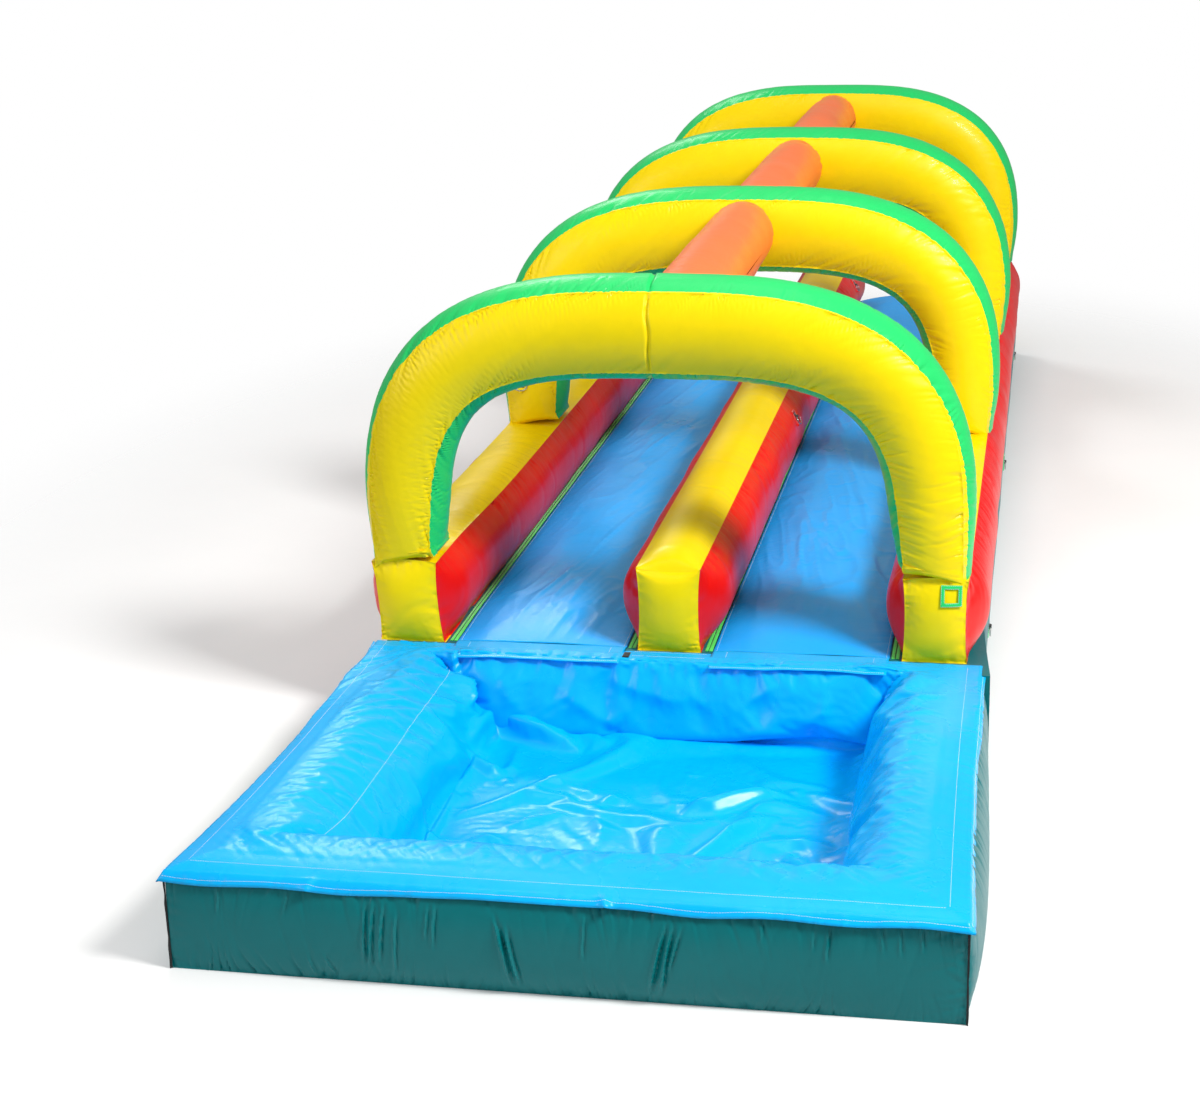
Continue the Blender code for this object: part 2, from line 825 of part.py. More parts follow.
def ring_object(name, place, facing, finish):
    """A D-shaped steel ring whose straight bar lies on its hinge axis."""
    curve = bpy.data.curves.new(name, "CURVE")
    curve.dimensions = "3D"
    curve.bevel_depth = ring_rod_radius
    curve.bevel_resolution = 1
    half = ring_width / 2
    points = [Vector((-half, 0, 0)), Vector((half, 0, 0))]
    for step in range(1, ring_arc_segments + 1):
        turn = math.pi * step / (ring_arc_segments + 1)
        points.append(Vector((half * math.cos(turn), 0, -ring_drop * math.sin(turn) ** bulge_power_share)))
    spline = curve.splines.new("POLY")
    spline.points.add(len(points) - 1)
    for spot, point in zip(spline.points, points):
        spot.co = (*point, 1)
    spline.use_cyclic_u = True
    made = bpy.data.objects.new(name, curve)
    curve.materials.append(finish)
    parts.objects.link(made)
    made.parent = root
    made.matrix_local = Matrix.Translation(place) @ facing
    return made


def anchor_object(name, place, facing, seat, finish, turn):
    """A sewn patch with the webbing sleeve that holds a ring's bar, seated on its chamber."""
    half = anchor_patch / 2
    outer = -sleeve_radius
    ys = (outer - anchor_patch_thickness - anchor_seat_depth, outer)
    square = block_mesh((-half, half), ys, (-half, half))
    bmesh.ops.rotate(square, verts=square.verts, matrix=Matrix.Rotation(turn, 3, "Y"))
    patch = add_object(name, square, finish=finish)
    ends = Vector((sleeve_length / 2, 0, 0))
    sleeve = cylinder_mesh(sleeve_radius, -ends, ends, port_sides)
    sleeve = add_object(f"{name}_sleeve", sleeve, collection=cutters)
    neck_xs = (-ends.x, ends.x)
    neck = block_mesh(neck_xs, (outer - anchor_patch_thickness, 0), (-sleeve_radius, sleeve_radius))
    neck = add_object(f"{name}_neck", neck, collection=cutters)
    bore_ends = ends * 2
    bore = cylinder_mesh(ring_rod_radius + ring_play, -bore_ends, bore_ends, port_sides)
    bore = add_object(f"{name}_bore", bore, collection=cutters)
    for piece in (patch, sleeve, neck, bore):
        piece.matrix_local = Matrix.Translation(place) @ facing
    cut(patch, neck, "UNION")
    cut(patch, sleeve, "UNION")
    cut(patch, bore)
    cut(patch, seat)
    return patch


def tether(name, surface, outward, seat, finish, tilt=0, turn=0):
    """A ring and its anchor, on the surface point and square to the outward direction."""
    upright = Vector((0, 0, 1))
    across = outward.cross(upright).normalized()
    facing = Matrix((across, outward, upright)).transposed().to_4x4()
    facing = Matrix.Rotation(tilt, 4, across) @ facing
    normal = facing.to_3x3() @ Vector((0, 1, 0))
    place = surface + normal * (sleeve_radius + anchor_patch_thickness + touch_gap)
    anchor_object(f"{name}_anchor", place, facing, seat, finish, turn)
    ring_object(f"{name}_ring", place, facing, ring_steel)


def build_tethers(arch_seats):
    bed_seat = add_object("bed_seat", bed_mesh(clearance=touch_gap), collection=cutters)
    divider_seat = add_object("divider_seat", wall_mesh(0, touch_gap), collection=cutters)
    for side, word in ((-1, "left"), (1, "right")):
        for number in range(base_anchors_a_side):
            y = pool_length + base_anchor_setback + base_anchor_pitch * number
            bulge = bed_side_bulge * faceted_swell(base_anchor_height / base_height)
            surface = Vector((side * (base_half_width(y) + bulge), y, base_anchor_height))
            tether(f"base_{word}_{number + 1}", surface, Vector((side, 0, 0)), bed_seat, green_vinyl)
    middle, width = arch_place(arch_anchor_height)
    depth = arch_face_bulge * swell(middle_share + arch_anchor_shift / width)
    surface = Vector((-middle - arch_anchor_shift, arch_fronts[1] - depth, arch_anchor_height))
    tether("arch_left", surface, Vector((0, -1, 0)), arch_seats[1], yellow_vinyl, turn=diamond_turn)
    up = divider_anchor_share
    rise = faceted_swell(up + slope_share) - faceted_swell(up - slope_share)
    tilt = -math.atan(divider_bulge * rise / (2 * slope_share * (divider_seam_height - base_height)))
    for number in range(divider_anchors):
        y = wall_front + divider_anchor_setback + divider_anchor_pitch * number
        x = divider_width / 2 + divider_bulge * faceted_swell(up)
        surface = Vector((x, y, divider_anchor_height))
        tether(f"divider_{number + 1}", surface, Vector((1, 0, 0)), divider_seat, red_vinyl, tilt=tilt)


def build_frame_patch():
    right = wall_centre + wall_width / 2 - frame_side_margin
    top = wall_seam_height - frame_top_margin
    front = wall_front - cap_bulge - frame_thickness
    ys = (front, wall_front)
    square = block_mesh((right - frame_size, right), ys, (top - frame_size, top))
    place = Vector((right - frame_size / 2, wall_front, top - frame_size / 2))
    frame = add_object("cap_frame", square, place, green_vinyl)
    inner_xs = (right - frame_size + frame_band, right - frame_band)
    inner_zs = (top - frame_size + frame_band, top - frame_band)
    ys = (front - cut_overrun, wall_front + cut_overrun)
    window = add_object("cap_frame_window", block_mesh(inner_xs, ys, inner_zs), collection=cutters)
    cut(frame, window)
    outer = add_object("cap_frame_face", wall_mesh(1, frame_thickness), collection=cutters)
    cut(frame, outer, "INTERSECT")
    cut(frame, add_object("cap_frame_seat", wall_mesh(1, touch_gap), collection=cutters))


def rear_surface(height):
    """How far back the lane bed's rear face stands at a height, clear of its rounded sides."""
    return body_length + rear_bulge * faceted_swell(height / base_height)


def build_inlet(bed_seat):
    start = Vector((-inlet_offset, body_length, inlet_height))
    end = Vector((-inlet_offset, body_length + rear_bulge + inlet_length, inlet_height))
    past = Vector((0, cut_overrun, 0))
    sleeve = add_object("inlet_sleeve", cylinder_mesh(inlet_radius, start, end, ridge_sides), end, red_vinyl)
    bore = cylinder_mesh(inlet_radius - inlet_cloth, start - past, end + past, ridge_sides)
    cut(sleeve, add_object("inlet_bore", bore, collection=cutters))
    cut(sleeve, bed_seat)
    rim = end - Vector((0, strap_setback, 0))
    back = rim - Vector((0, strap_width, 0))
    outer = inlet_radius + touch_gap + strap_thickness
    strap = add_object("inlet_strap", cylinder_mesh(outer, back, rim, ridge_sides), rim, black_webbing)
    hole = cylinder_mesh(inlet_radius + touch_gap, back - past, rim + past, ridge_sides)
    cut(strap, add_object("strap_hole", hole, collection=cutters))


def build_zip(bed_seat):
    left = zip_offset - zip_length / 2
    right = zip_offset + zip_length / 2
    low = zip_height - zip_tape_height / 2
    high = zip_height + zip_tape_height / 2
    outer = rear_surface(high) + zip_tape_thickness
    tape = block_mesh((left, right), (body_length, outer), (low, high))
    tape = add_object("zip_tape", tape, Vector((zip_offset, outer, zip_height)), black_webbing)
    cut(tape, bed_seat)

    start = left + slider_end_margin
    ys = (outer + touch_gap, outer + touch_gap + slider_thickness)
    zs = (zip_height - slider_height / 2, zip_height + slider_height / 2)
    slider = block_mesh((start, start + slider_width), ys, zs)
    add_object("zip_slider", slider, Vector((start, ys[0], zip_height)), ring_steel)

    half = zip_length / 2 + zip_flap_overlap
    axis_y = rear_surface(zip_flap_hinge_height) + touch_gap + zip_flap_hem_radius
    axis = Vector((zip_offset, axis_y, zip_flap_hinge_height))
    ends = Vector((half, 0, 0))
    hem = cylinder_mesh(zip_flap_hem_radius, axis - ends, axis + ends, port_sides)
    flap = add_object("zip_flap", hem, axis, teal_vinyl)
    ys = (axis_y - zip_flap_thickness / 2, axis_y + zip_flap_thickness / 2)
    zs = (zip_flap_hinge_height - zip_flap_drop, zip_flap_hinge_height)
    sheet = block_mesh((zip_offset - half, zip_offset + half), ys, zs)
    cut(flap, add_object("zip_flap_sheet", sheet, collection=cutters), "UNION")


def build_slide():
    bed = build_bed()
    build_baffles()
    build_pool()
    build_lanes()
    build_walls(bed)
    seats = build_arches()
    build_tethers(seats)
    build_frame_patch()
    bed_seat = bpy.data.objects["bed_seat"]
    build_inlet(bed_seat)
    build_zip(bed_seat)


clear_scene()
parts = new_collection("water_slide")
cutters = new_collection("cutters")
root = bpy.data.objects.new("slide_origin", None)
root.location = (0, -middle_y, 0)
parts.objects.link(root)

teal_vinyl = material("teal_vinyl", teal, 0.35)
blue_vinyl = material("blue_vinyl", blue, 0.25)
yellow_vinyl = material("yellow_vinyl", yellow, 0.35)
red_vinyl = material("red_vinyl", red, 0.35)
green_vinyl = material("green_vinyl", green, 0.40)
orange_vinyl = material("orange_vinyl", orange, 0.40)
lime_strip = material("lime_strip", lime, 0.80)
white_fabric = material("white_fabric", white, 0.70)
black_webbing = material("black_webbing", black, 0.80)
ring_steel = material("ring_steel", steel, 0.30, 1.0)

build_slide()
bpy.context.view_layer.update()
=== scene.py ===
# %% [markdown]
# # Dressing an inflatable water slide
#
# The slide is a set of air chambers sewn from coated fabric. Air pushes every panel out, and the
# seams hold it back, so each panel is domed and its edges pucker. This lesson rebuilds that skin
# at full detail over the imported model, piece by piece, and then lights it like a product photo.
#
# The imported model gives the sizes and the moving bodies. Every piece made here rides on one of
# them and stands in for the plain solid at the same place.

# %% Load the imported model
import json
import math

import bmesh
import bpy
import numpy as np
from mathutils import Matrix, Vector


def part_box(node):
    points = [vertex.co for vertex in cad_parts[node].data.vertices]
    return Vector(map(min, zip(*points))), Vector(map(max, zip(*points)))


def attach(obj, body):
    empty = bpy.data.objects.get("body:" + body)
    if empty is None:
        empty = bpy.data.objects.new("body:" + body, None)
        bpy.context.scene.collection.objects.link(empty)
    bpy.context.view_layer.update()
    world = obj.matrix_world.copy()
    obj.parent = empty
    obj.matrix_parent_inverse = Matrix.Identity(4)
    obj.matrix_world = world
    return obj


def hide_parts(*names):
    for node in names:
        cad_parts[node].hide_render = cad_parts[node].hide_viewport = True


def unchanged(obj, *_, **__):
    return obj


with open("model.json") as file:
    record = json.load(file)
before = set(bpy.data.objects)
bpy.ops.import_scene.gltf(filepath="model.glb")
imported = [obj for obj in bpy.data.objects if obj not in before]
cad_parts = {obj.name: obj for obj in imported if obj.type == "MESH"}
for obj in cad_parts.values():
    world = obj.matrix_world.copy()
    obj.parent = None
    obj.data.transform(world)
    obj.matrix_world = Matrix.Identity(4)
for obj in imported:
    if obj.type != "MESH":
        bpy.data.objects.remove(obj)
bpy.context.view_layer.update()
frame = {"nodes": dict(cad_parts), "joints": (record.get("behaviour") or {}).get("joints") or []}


# %% [markdown]
# ## Seam lines
#
# A sewn inflatable is drawn by its seams. These are the seam lines of the real object in metres,
# with the X axis across the slide and the Y axis from the pool to the far end. They could all be
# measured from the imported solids, but written out they read as a pattern cutter's sheet.

# %% Sizes of the chambers
base_height = 0.449
pool_front = -6.26
bed_front = -3.51
bed_rear = 5.96
pool_half, bed_half, side_easing = 1.675, 1.60, 1.40
front_bulge, pool_side_bulge, bed_side_bulge, rear_bulge = 0.05, 0.06, 0.03, 0.05
bumper_width, bumper_roll, bumper_crown = 0.50, 0.16, 0.035
wall_front, wall_base = -3.354, base_height + 0.0005
wall_centre, wall_width, wall_top = 1.385, 0.336, 0.894
wall_bulge, wall_crown = 0.100, 0.050
divider_width, divider_top = 0.340, 0.907
divider_bulge, divider_crown, divider_roll = 0.120, 0.075, 0.075
cap_bulge, cap_easing = 0.050, 0.30
corner_tuck, corner_reach = 0.013, 0.11
arch_pitch, arch_depth = 2.984, 0.350
arch_fronts = [wall_front + arch_pitch * number for number in range(4)]
spring_height, crown_height, half_span = 0.950, 2.158, 1.396
leg_width, crown_width = 0.304, 0.416
face_bulge, band_bulge = 0.065, 0.062
arch_leans = (0.040, 0, 0, 0)
ridge_radius = 0.213
lane_inner = divider_width / 2
lane_outer = wall_centre - wall_width / 2
strip_margin, strip_inset, strip_width = 0.062, 0.015, 0.040
cover_inner, cover_outer = lane_inner + strip_margin, lane_outer - strip_margin
lane_crown, crown_start, crown_easing = 0.070, -3.33, 0.60
fine = 1.0
print("arches stand at Y =", [round(y, 3) for y in arch_fronts])

# %% [markdown]
# ## Repeatable randomness
#
# Wrinkles are irregular, but a rebuild has to give the same ones. A hash of a lattice gives noise
# that is the same in every run. Blender's noise module would give it point by point. Here it comes
# for whole arrays at once, which is far quicker.


# %% Noise for whole arrays
def ease(share):
    """Rises smoothly from 0 to 1 and then stays."""
    return np.sin(np.pi / 2 * np.clip(share, 0, 1))


def swell(share, power=2.3):
    """The bow of a panel between two seams: 0 at both and 1 midway."""
    return 1 - np.abs(2 * np.clip(share, 0, 1) - 1) ** power


def bell(off, width, power=2):
    """1 where off is 0, and fading out on both sides over about the width."""
    return np.exp(-((off / width) ** power))


def noise_line(x, seed):
    """Smooth noise in one dimension, from -1 to 1, with a lattice step of 1."""
    table = np.random.default_rng(seed).uniform(-1, 1, 1024)
    cell = np.floor(x).astype(int)
    share = x - cell
    share = share * share * (3 - 2 * share)
    return table[cell % 1024] * (1 - share) + table[(cell + 1) % 1024] * share


def noise_sheet(x, y, seed):
    """Smooth noise in two dimensions, from -1 to 1, with a lattice step of 1."""
    table = np.random.default_rng(seed).uniform(-1, 1, (128, 128))
    column, row = np.floor(x).astype(int), np.floor(y).astype(int)
    along, up = x - column, y - row
    along, up = along * along * (3 - 2 * along), up * up * (3 - 2 * up)
    rows = []
    for level in (row, row + 1):
        near, far = table[column % 128, level % 128], table[(column + 1) % 128, level % 128]
        rows.append(near * (1 - along) + far * along)
    return rows[0] * (1 - up) + rows[1] * up


def creases(x, seed):
    """Narrow valleys between wide cushions, from 0 on the cushions to 1 in a valley."""
    return np.clip(1 - 2.6 * np.abs(noise_line(x, seed)), 0, 1) ** 1.5


def puckers(along, off, seed, depth, reach):
    """Gathers square to a seam: many short ones at the thread and fewer that run far out."""
    off = np.maximum(off, 0)
    total = np.zeros(np.broadcast(along, off).shape)
    cluster = 0.40 + 0.60 * ease(0.5 + 0.9 * noise_line(along / (reach * 3.1), seed + 7))
    for level in range(4):
        share = 0.62**level
        length = reach * 0.6**level
        skewed = along + off * 0.55 * noise_line(along / (reach * 1.7), seed + 11)
        valley = creases(skewed / (length * 0.36 + 0.004), seed + level)
        total += share * valley * bell(off, length, 1.5)
    far = creases((along + off * 0.3) / (reach * 0.9), seed + 17) * bell(off, 2.1 * reach)
    return depth * (cluster * total + 0.45 * far * cluster**3) * (1 - np.exp(-off / 0.005))


print("a few pucker depths, mm:", np.round(puckers(np.arange(5) / 30, 0.02, 3, 8, 0.1), 1))

# %% [markdown]
# ## Panels
#
# A panel is a grid of points. Its relief is a push along the panel's own normal, so one function
# serves a flat wall, a domed cap and a curved arch alike.


# %% Grids of points
def steps(length, size):
    return max(4, int(round(length / size * fine)))


def spaced(count, gather=0.0):
    """Shares from 0 to 1, drawn closer together at both ends as gather goes to 1."""
    even = np.linspace(0, 1, count + 1)
    return even * (1 - gather) + (0.5 - 0.5 * np.cos(np.pi * even)) * gather


def lengths(points, axis):
    """Distance along one direction of a grid, from its first edge."""
    gaps = np.linalg.norm(np.diff(points, axis=axis), axis=2)
    shape = list(points.shape[:2])
    shape[axis] = 1
    return np.concatenate([np.zeros(shape), np.cumsum(gaps, axis=axis)], axis=axis)


def metres(points):
    """UVs of a grid: the distance along it both ways."""
    return np.stack([lengths(points, 0), lengths(points, 1)], 2)


def stacked(x, y, z):
    """Points from coordinates that stretch over one another."""
    return np.stack(np.broadcast_arrays(x, y, z), -1)


def facet(points, inside, slots=0, uv=None):
    """A grid as chamber() takes it, with a place on its inner side and a finish for each cell."""
    uv = points[..., :2] if uv is None else uv
    return {"points": points, "uv": uv, "slots": slots, "inside": inside}


def outline(grid):
    """The closed row of points round a grid."""
    return np.concatenate([grid[0], grid[1:, -1], grid[-1, -2::-1], grid[-2::-1, 0]])


def normals(points, inside):
    """Unit normals of a grid, turned away from the inside point or line."""
    along = np.gradient(points, axis=0)
    across = np.gradient(points, axis=1)
    square = np.cross(along, across)
    square /= np.maximum(np.linalg.norm(square, axis=2, keepdims=True), 1e-9)
    return square if ((points - inside) * square).sum() > 0 else -square


print("cells in a 9.3 m wall:", steps(9.3, 0.014))

# %% [markdown]
# The relief comes in two layers. Along each named seam the cloth is gathered by its thread. Between
# the seams it lies in folds and waves, which fade out before they reach the thread.


# %% Relief on a panel
relief_fade = 0.02


def panel(points, inside, seams=(), seed=0, relief=None, slots=0):
    """A grid with puckers along the named seams; each seam is (edge, depth, reach)."""
    along, across = lengths(points, 0), lengths(points, 1)
    edges = {
        "start": (across, along),
        "end": (across, along[-1:] - along),
        "low": (along, across),
        "high": (along, across[:, -1:] - across),
    }
    push = np.zeros(points.shape[:2])
    for number, (edge, depth, reach) in enumerate(seams):
        run, off = edges[edge]
        push = push - puckers(run, off, seed + 31 * number, depth, reach)
    if relief is not None:
        fade = np.ones(points.shape[:2])
        for run, off in edges.values():
            fade = fade * (1 - np.exp(-np.maximum(off, 0) / relief_fade))
        push = push + relief(along, across) * fade
    moved = points + normals(points, inside) * push[..., None]
    return facet(moved, inside, slots, np.stack([along, across], 2))


def end_cap(ring, facing):
    """Closes a ring of points with a flat end that faces the given way."""
    hub = ring.mean(0)
    rows = hub + (ring - hub) * np.array([1, 0.5, 0.02])[:, None, None]
    flat = [axis for axis in range(3) if not facing[axis]]
    return facet(rows, hub - np.array(facing), 0, rows[..., flat])


print("folds fade out within", relief_fade * 1000, "mm of a seam")


# %% [markdown]
# Panels of one chamber are welded along their seams, and an angle limit keeps those seams crisp
# while the cloth between them stays smooth. A loose sheet stays open, and gets its thickness from
# a modifier.


# %% Chambers and sheets
def placed(name, data):
    """A new object of the scene."""
    made = bpy.data.objects.new(name, data)
    bpy.context.scene.collection.objects.link(made)
    return made


def chamber(name, panels, finishes, sharp=38, weld=0.0006):
    """One mesh from panels, with their UVs in metres and a finish for each cell."""
    points, faces, uvs, slots, start = [], [], [], [], 0
    for piece in panels:
        grid = piece["points"]
        rows, columns = grid.shape[:2]
        index = start + np.arange(rows * columns).reshape(rows, columns)
        corners = [index[:-1, :-1], index[1:, :-1], index[1:, 1:], index[:-1, 1:]]
        quads = np.stack(corners, 2).reshape(-1, 4)
        square = np.cross(np.gradient(grid, axis=0), np.gradient(grid, axis=1))
        if ((grid - piece["inside"]) * square).sum() < 0:
            quads = quads[:, ::-1]
        points.append(grid.reshape(-1, 3))
        faces.append(quads)
        uvs.append(piece["uv"].reshape(-1, 2))
        slot = np.zeros((rows - 1, columns - 1), int) + piece["slots"]
        slots.append(slot.reshape(-1))
        start += rows * columns
    points, faces = np.concatenate(points), np.concatenate(faces)
    uvs, slots = np.concatenate(uvs), np.concatenate(slots)
    mesh = bpy.data.meshes.new(name)
    mesh.from_pydata(points, [], faces)
    layer = mesh.uv_layers.new(name="metres")
    layer.data.foreach_set("uv", uvs[faces.reshape(-1)].reshape(-1))
    mesh.polygons.foreach_set("material_index", slots.astype(np.int32))
    for finish in finishes:
        mesh.materials.append(finish)
    if weld:
        shell = bmesh.new()
        shell.from_mesh(mesh)
        bmesh.ops.remove_doubles(shell, verts=shell.verts, dist=weld)
        shell.to_mesh(mesh)
        shell.free()
    mesh.polygons.foreach_set("use_smooth", np.ones(len(mesh.polygons), bool))
    mesh.set_sharp_from_angle(angle=math.radians(sharp))
    return placed(name, mesh)


vinyl_thickness = 0.0012


def thicken(piece, thickness=vinyl_thickness, offset=-1):
    """Gives a single layer of cloth its true thickness."""
    shell = piece.modifiers.new("cloth thickness", "SOLIDIFY")
    shell.thickness, shell.offset = thickness, offset


def settle(piece, body, nodes, slot, form=None, **facts):
    """Puts a finished piece on its body, in place of its plain solids."""
    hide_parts(*nodes)
    if form:
        form(piece, **facts)
    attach(piece, body)
    print(f"{piece.name}: {len(piece.data.polygons)} faces")


print("thickness of a loose sheet, mm:", vinyl_thickness * 1000)

# %% [markdown]
# ## Materials
#
# Every finish is built from nodes: a colour that drifts a little, roughness from handling and
# dust, and a bump from the cloth inside the coating. One function adds a node and wires it, so a
# material reads as a short list. Colours are written the way a paint card gives them, in sRGB,
# and turned into the linear values that a shader mixes.


# %% Small helpers for shader nodes
wave_per_metre = 0.314  # a wave texture at scale 1 repeats every 2 pi / 20 m


def linear(code):
    """An sRGB hex colour as linear red, green, blue and alpha."""
    shares = [int(code[start : start + 2], 16) / 255 for start in (0, 2, 4)]
    return [c / 12.92 if c <= 0.04045 else ((c + 0.055) / 1.055) ** 2.4 for c in shares] + [1]


def node(tree, kind, settings, inputs):
    """Adds one node. An input is a plain value, or another node's output to link from."""
    made = tree.nodes.new(kind)
    for key, value in settings.items():
        setattr(made, key, value)
    for key, value in inputs.items():
        if isinstance(value, bpy.types.NodeSocket):
            tree.links.new(value, made.inputs[key])
        else:
            made.inputs[key].default_value = value
    return made.outputs[0]


def blank(name, roughness, **values):
    """A new material with its node tree and its main shader, set to plain values."""
    made = bpy.data.materials.new(name)
    made.use_nodes = True
    shader = made.node_tree.nodes["Principled BSDF"]
    shader.inputs["Roughness"].default_value = roughness
    for key, value in values.items():
        shader.inputs[key.replace("_", " ")].default_value = value
    return made, made.node_tree, shader


def own_space(tree):
    """The piece's own coordinates, for what runs on across its seams."""
    return node(tree, "ShaderNodeTexCoord", {}, {}).node.outputs["Object"]


def along_seams(tree):
    """The UVs in metres, for what follows the cloth."""
    return node(tree, "ShaderNodeUVMap", {"uv_map": "metres"}, {})


def noise(tree, spot, scale, detail):
    """Plain fractal noise, with a scale in repeats per metre."""
    return node(tree, "ShaderNodeTexNoise", {}, {"Vector": spot, "Scale": scale, "Detail": detail})


def bands(tree, seam, pitch, direction, distortion, detail):
    """Ribs or threads that repeat at a pitch in metres."""
    settings = {"wave_type": "BANDS", "bands_direction": direction}
    inputs = {"Vector": seam, "Scale": wave_per_metre / pitch, "Distortion": distortion, "Detail": detail}
    return node(tree, "ShaderNodeTexWave", settings, inputs).node.outputs["Fac"]


def span(tree, value, low, high):
    """Stretches a value from 0..1 to low..high."""
    inputs = {"Value": value, "From Min": 0.25, "From Max": 0.75, "To Min": low, "To Max": high}
    return node(tree, "ShaderNodeMapRange", {}, inputs)


def drift(tree, shader, colour, spot, amount):
    """Lets the colour run a little lighter and darker over the piece."""
    bright = span(tree, noise(tree, spot, 1.3, 3.0), 1 - amount, 1 + amount)
    fine_bright = span(tree, noise(tree, spot, 17.0, 4.0), 1 - amount * 0.35, 1 + amount * 0.35)
    both = node(tree, "ShaderNodeMath", {"operation": "MULTIPLY"}, {0: bright, 1: fine_bright})
    scaled = node(tree, "ShaderNodeHueSaturation", {}, {"Color": colour, "Value": both})
    tree.links.new(scaled, shader.inputs["Base Color"])


print("yellow in linear values:", [round(c, 3) for c in linear("F2D80F")])

# %% [markdown]
# ## Coated fabric
#
# The chambers are 0.5 mm polyester scrim with a soft vinyl coat on both sides. The coat gives
# the broad, clean highlights; the scrim shows through it as a faint grid. A real scrim has about
# one thread a millimetre. It is drawn here at 5 mm, because a finer grid would only shimmer
# at this distance. A very low, wide bump breaks the highlights up the way blown vinyl does.

# %% Vinyl
scrim_pitch = 0.005


def vinyl(name, code, gloss=0.34, crinkle=0.5):
    """Coated fabric in one colour, glossier for the wet sheets than for the chambers."""
    coat = {"Coat_Weight": 0.07, "Coat_Roughness": 0.08}
    made, tree, shader = blank(name, gloss, IOR=1.45, Specular_IOR_Level=0.24, **coat)
    spot, seam = own_space(tree), along_seams(tree)
    drift(tree, shader, linear(code), spot, 0.06)
    smudge = span(tree, noise(tree, spot, 3.1, 5.0), gloss - 0.05, gloss + 0.09)
    tree.links.new(smudge, shader.inputs["Roughness"])
    warp, weft = (bands(tree, seam, scrim_pitch, direction, 0.4, 1.0) for direction in ("X", "Y"))
    cloth = node(tree, "ShaderNodeMath", {"operation": "ADD"}, {0: warp, 1: weft})
    bump = node(tree, "ShaderNodeBump", {}, {"Height": cloth, "Distance": 0.00025, "Strength": 0.5})
    waves = {"Height": noise(tree, spot, 7.0, 5.0), "Distance": 0.004, "Normal": bump}
    bump = node(tree, "ShaderNodeBump", {}, {**waves, "Strength": crinkle})
    tree.links.new(bump, shader.inputs["Normal"])
    return made


teal = vinyl("teal coated polyester", "006F74")
red = vinyl("red coated polyester", "E8120F")
yellow = vinyl("yellow coated polyester", "F9DA00")
green = vinyl("green coated polyester", "26CC6A")
orange = vinyl("orange coated polyester", "FF7A3E")
lane_blue = vinyl("lane blue coated polyester", "10A8FF", gloss=0.32)
pool_blue = vinyl("pool blue coated polyester", "00B2F8", gloss=0.24)
print("vinyl colours:", len(bpy.data.materials))

# %% [markdown]
# ## Webbing, hook tape, plate and scrim
#
# Four more finishes complete the set. Webbing is ribbed and matt, with a little sheen off its
# fibres. Hook-and-loop tape is a dull pile with a darker line down the gap between two rows.
# The rings are plated steel that has been dragged over grass, so they are bright but scuffed. The
# inner webs are bare scrim, never seen from outside but there when a chamber is opened.


# %% Webbing, tape, steel and bare scrim
def ribbed(name, code, pitch, depth, fuzz):
    """Woven tape: ribs across it, a matt face and fibres that catch the light at its edges."""
    made, tree, shader = blank(name, 0.85, Sheen_Weight=fuzz, Sheen_Roughness=0.4)
    spot, seam = own_space(tree), along_seams(tree)
    drift(tree, shader, linear(code), spot, 0.16)
    rib = bands(tree, seam, pitch, "DIAGONAL", 1.2, 2.0)
    pile = noise(tree, spot, 1 / pitch, 2.0)
    both = node(tree, "ShaderNodeMath", {"operation": "ADD"}, {0: rib, 1: pile})
    bump = node(tree, "ShaderNodeBump", {}, {"Height": both, "Distance": depth, "Strength": 0.7})
    tree.links.new(bump, shader.inputs["Normal"])
    return made


def plated(name, code):
    """Zinc-plated rod: bright metal, with short scuffs and a cloudier film in places."""
    made, tree, shader = blank(name, 0.28, Metallic=1.0)
    spot = own_space(tree)
    drift(tree, shader, linear(code), spot, 0.10)
    film = span(tree, noise(tree, spot, 60.0, 6.0), 0.20, 0.46)
    tree.links.new(film, shader.inputs["Roughness"])
    scuff = {"Height": noise(tree, spot, 420.0, 3.0), "Distance": 0.0002, "Strength": 0.5}
    tree.links.new(node(tree, "ShaderNodeBump", {}, scuff), shader.inputs["Normal"])
    return made


webbing = ribbed("black nylon webbing", "17181B", 0.004, 0.0006, 0.3)
tape = ribbed("lime hook tape", "48F25C", 0.006, 0.0020, 0.4)
tape_gap = ribbed("dark gap between tape rows", "0E5A2A", 0.006, 0.0015, 0.1)
scrim = ribbed("bare white scrim", "DADCD6", 0.005, 0.0005, 0.2)
steel = plated("zinc plated steel", "B9BABC")
print("finishes in all:", len(bpy.data.materials))

# %% [markdown]
# ## Arches
#
# An arch is a four-panel tube bent over the lanes: yellow faces front and back, and green bands
# outside and inside. At the foot the bulge dies away, so that the leg can sit flat on the wall.
# The inner seam is shorter than the outer one, so the cloth gathers there most, and more at the
# shoulders where the bend is tight.


# %% Arches
arch_roundness, foot_arch, bend_reach = 0.635, 0.016, 0.55
arch_cells = (0.0065, 0.009, 0.011, 0.013)
gather_depths = {
    "front": (0.009, 0.009),
    "inner": (0.012, 0.012),
    "rear": (0.010, 0.009),
    "outer": (0.009, 0.009),
}


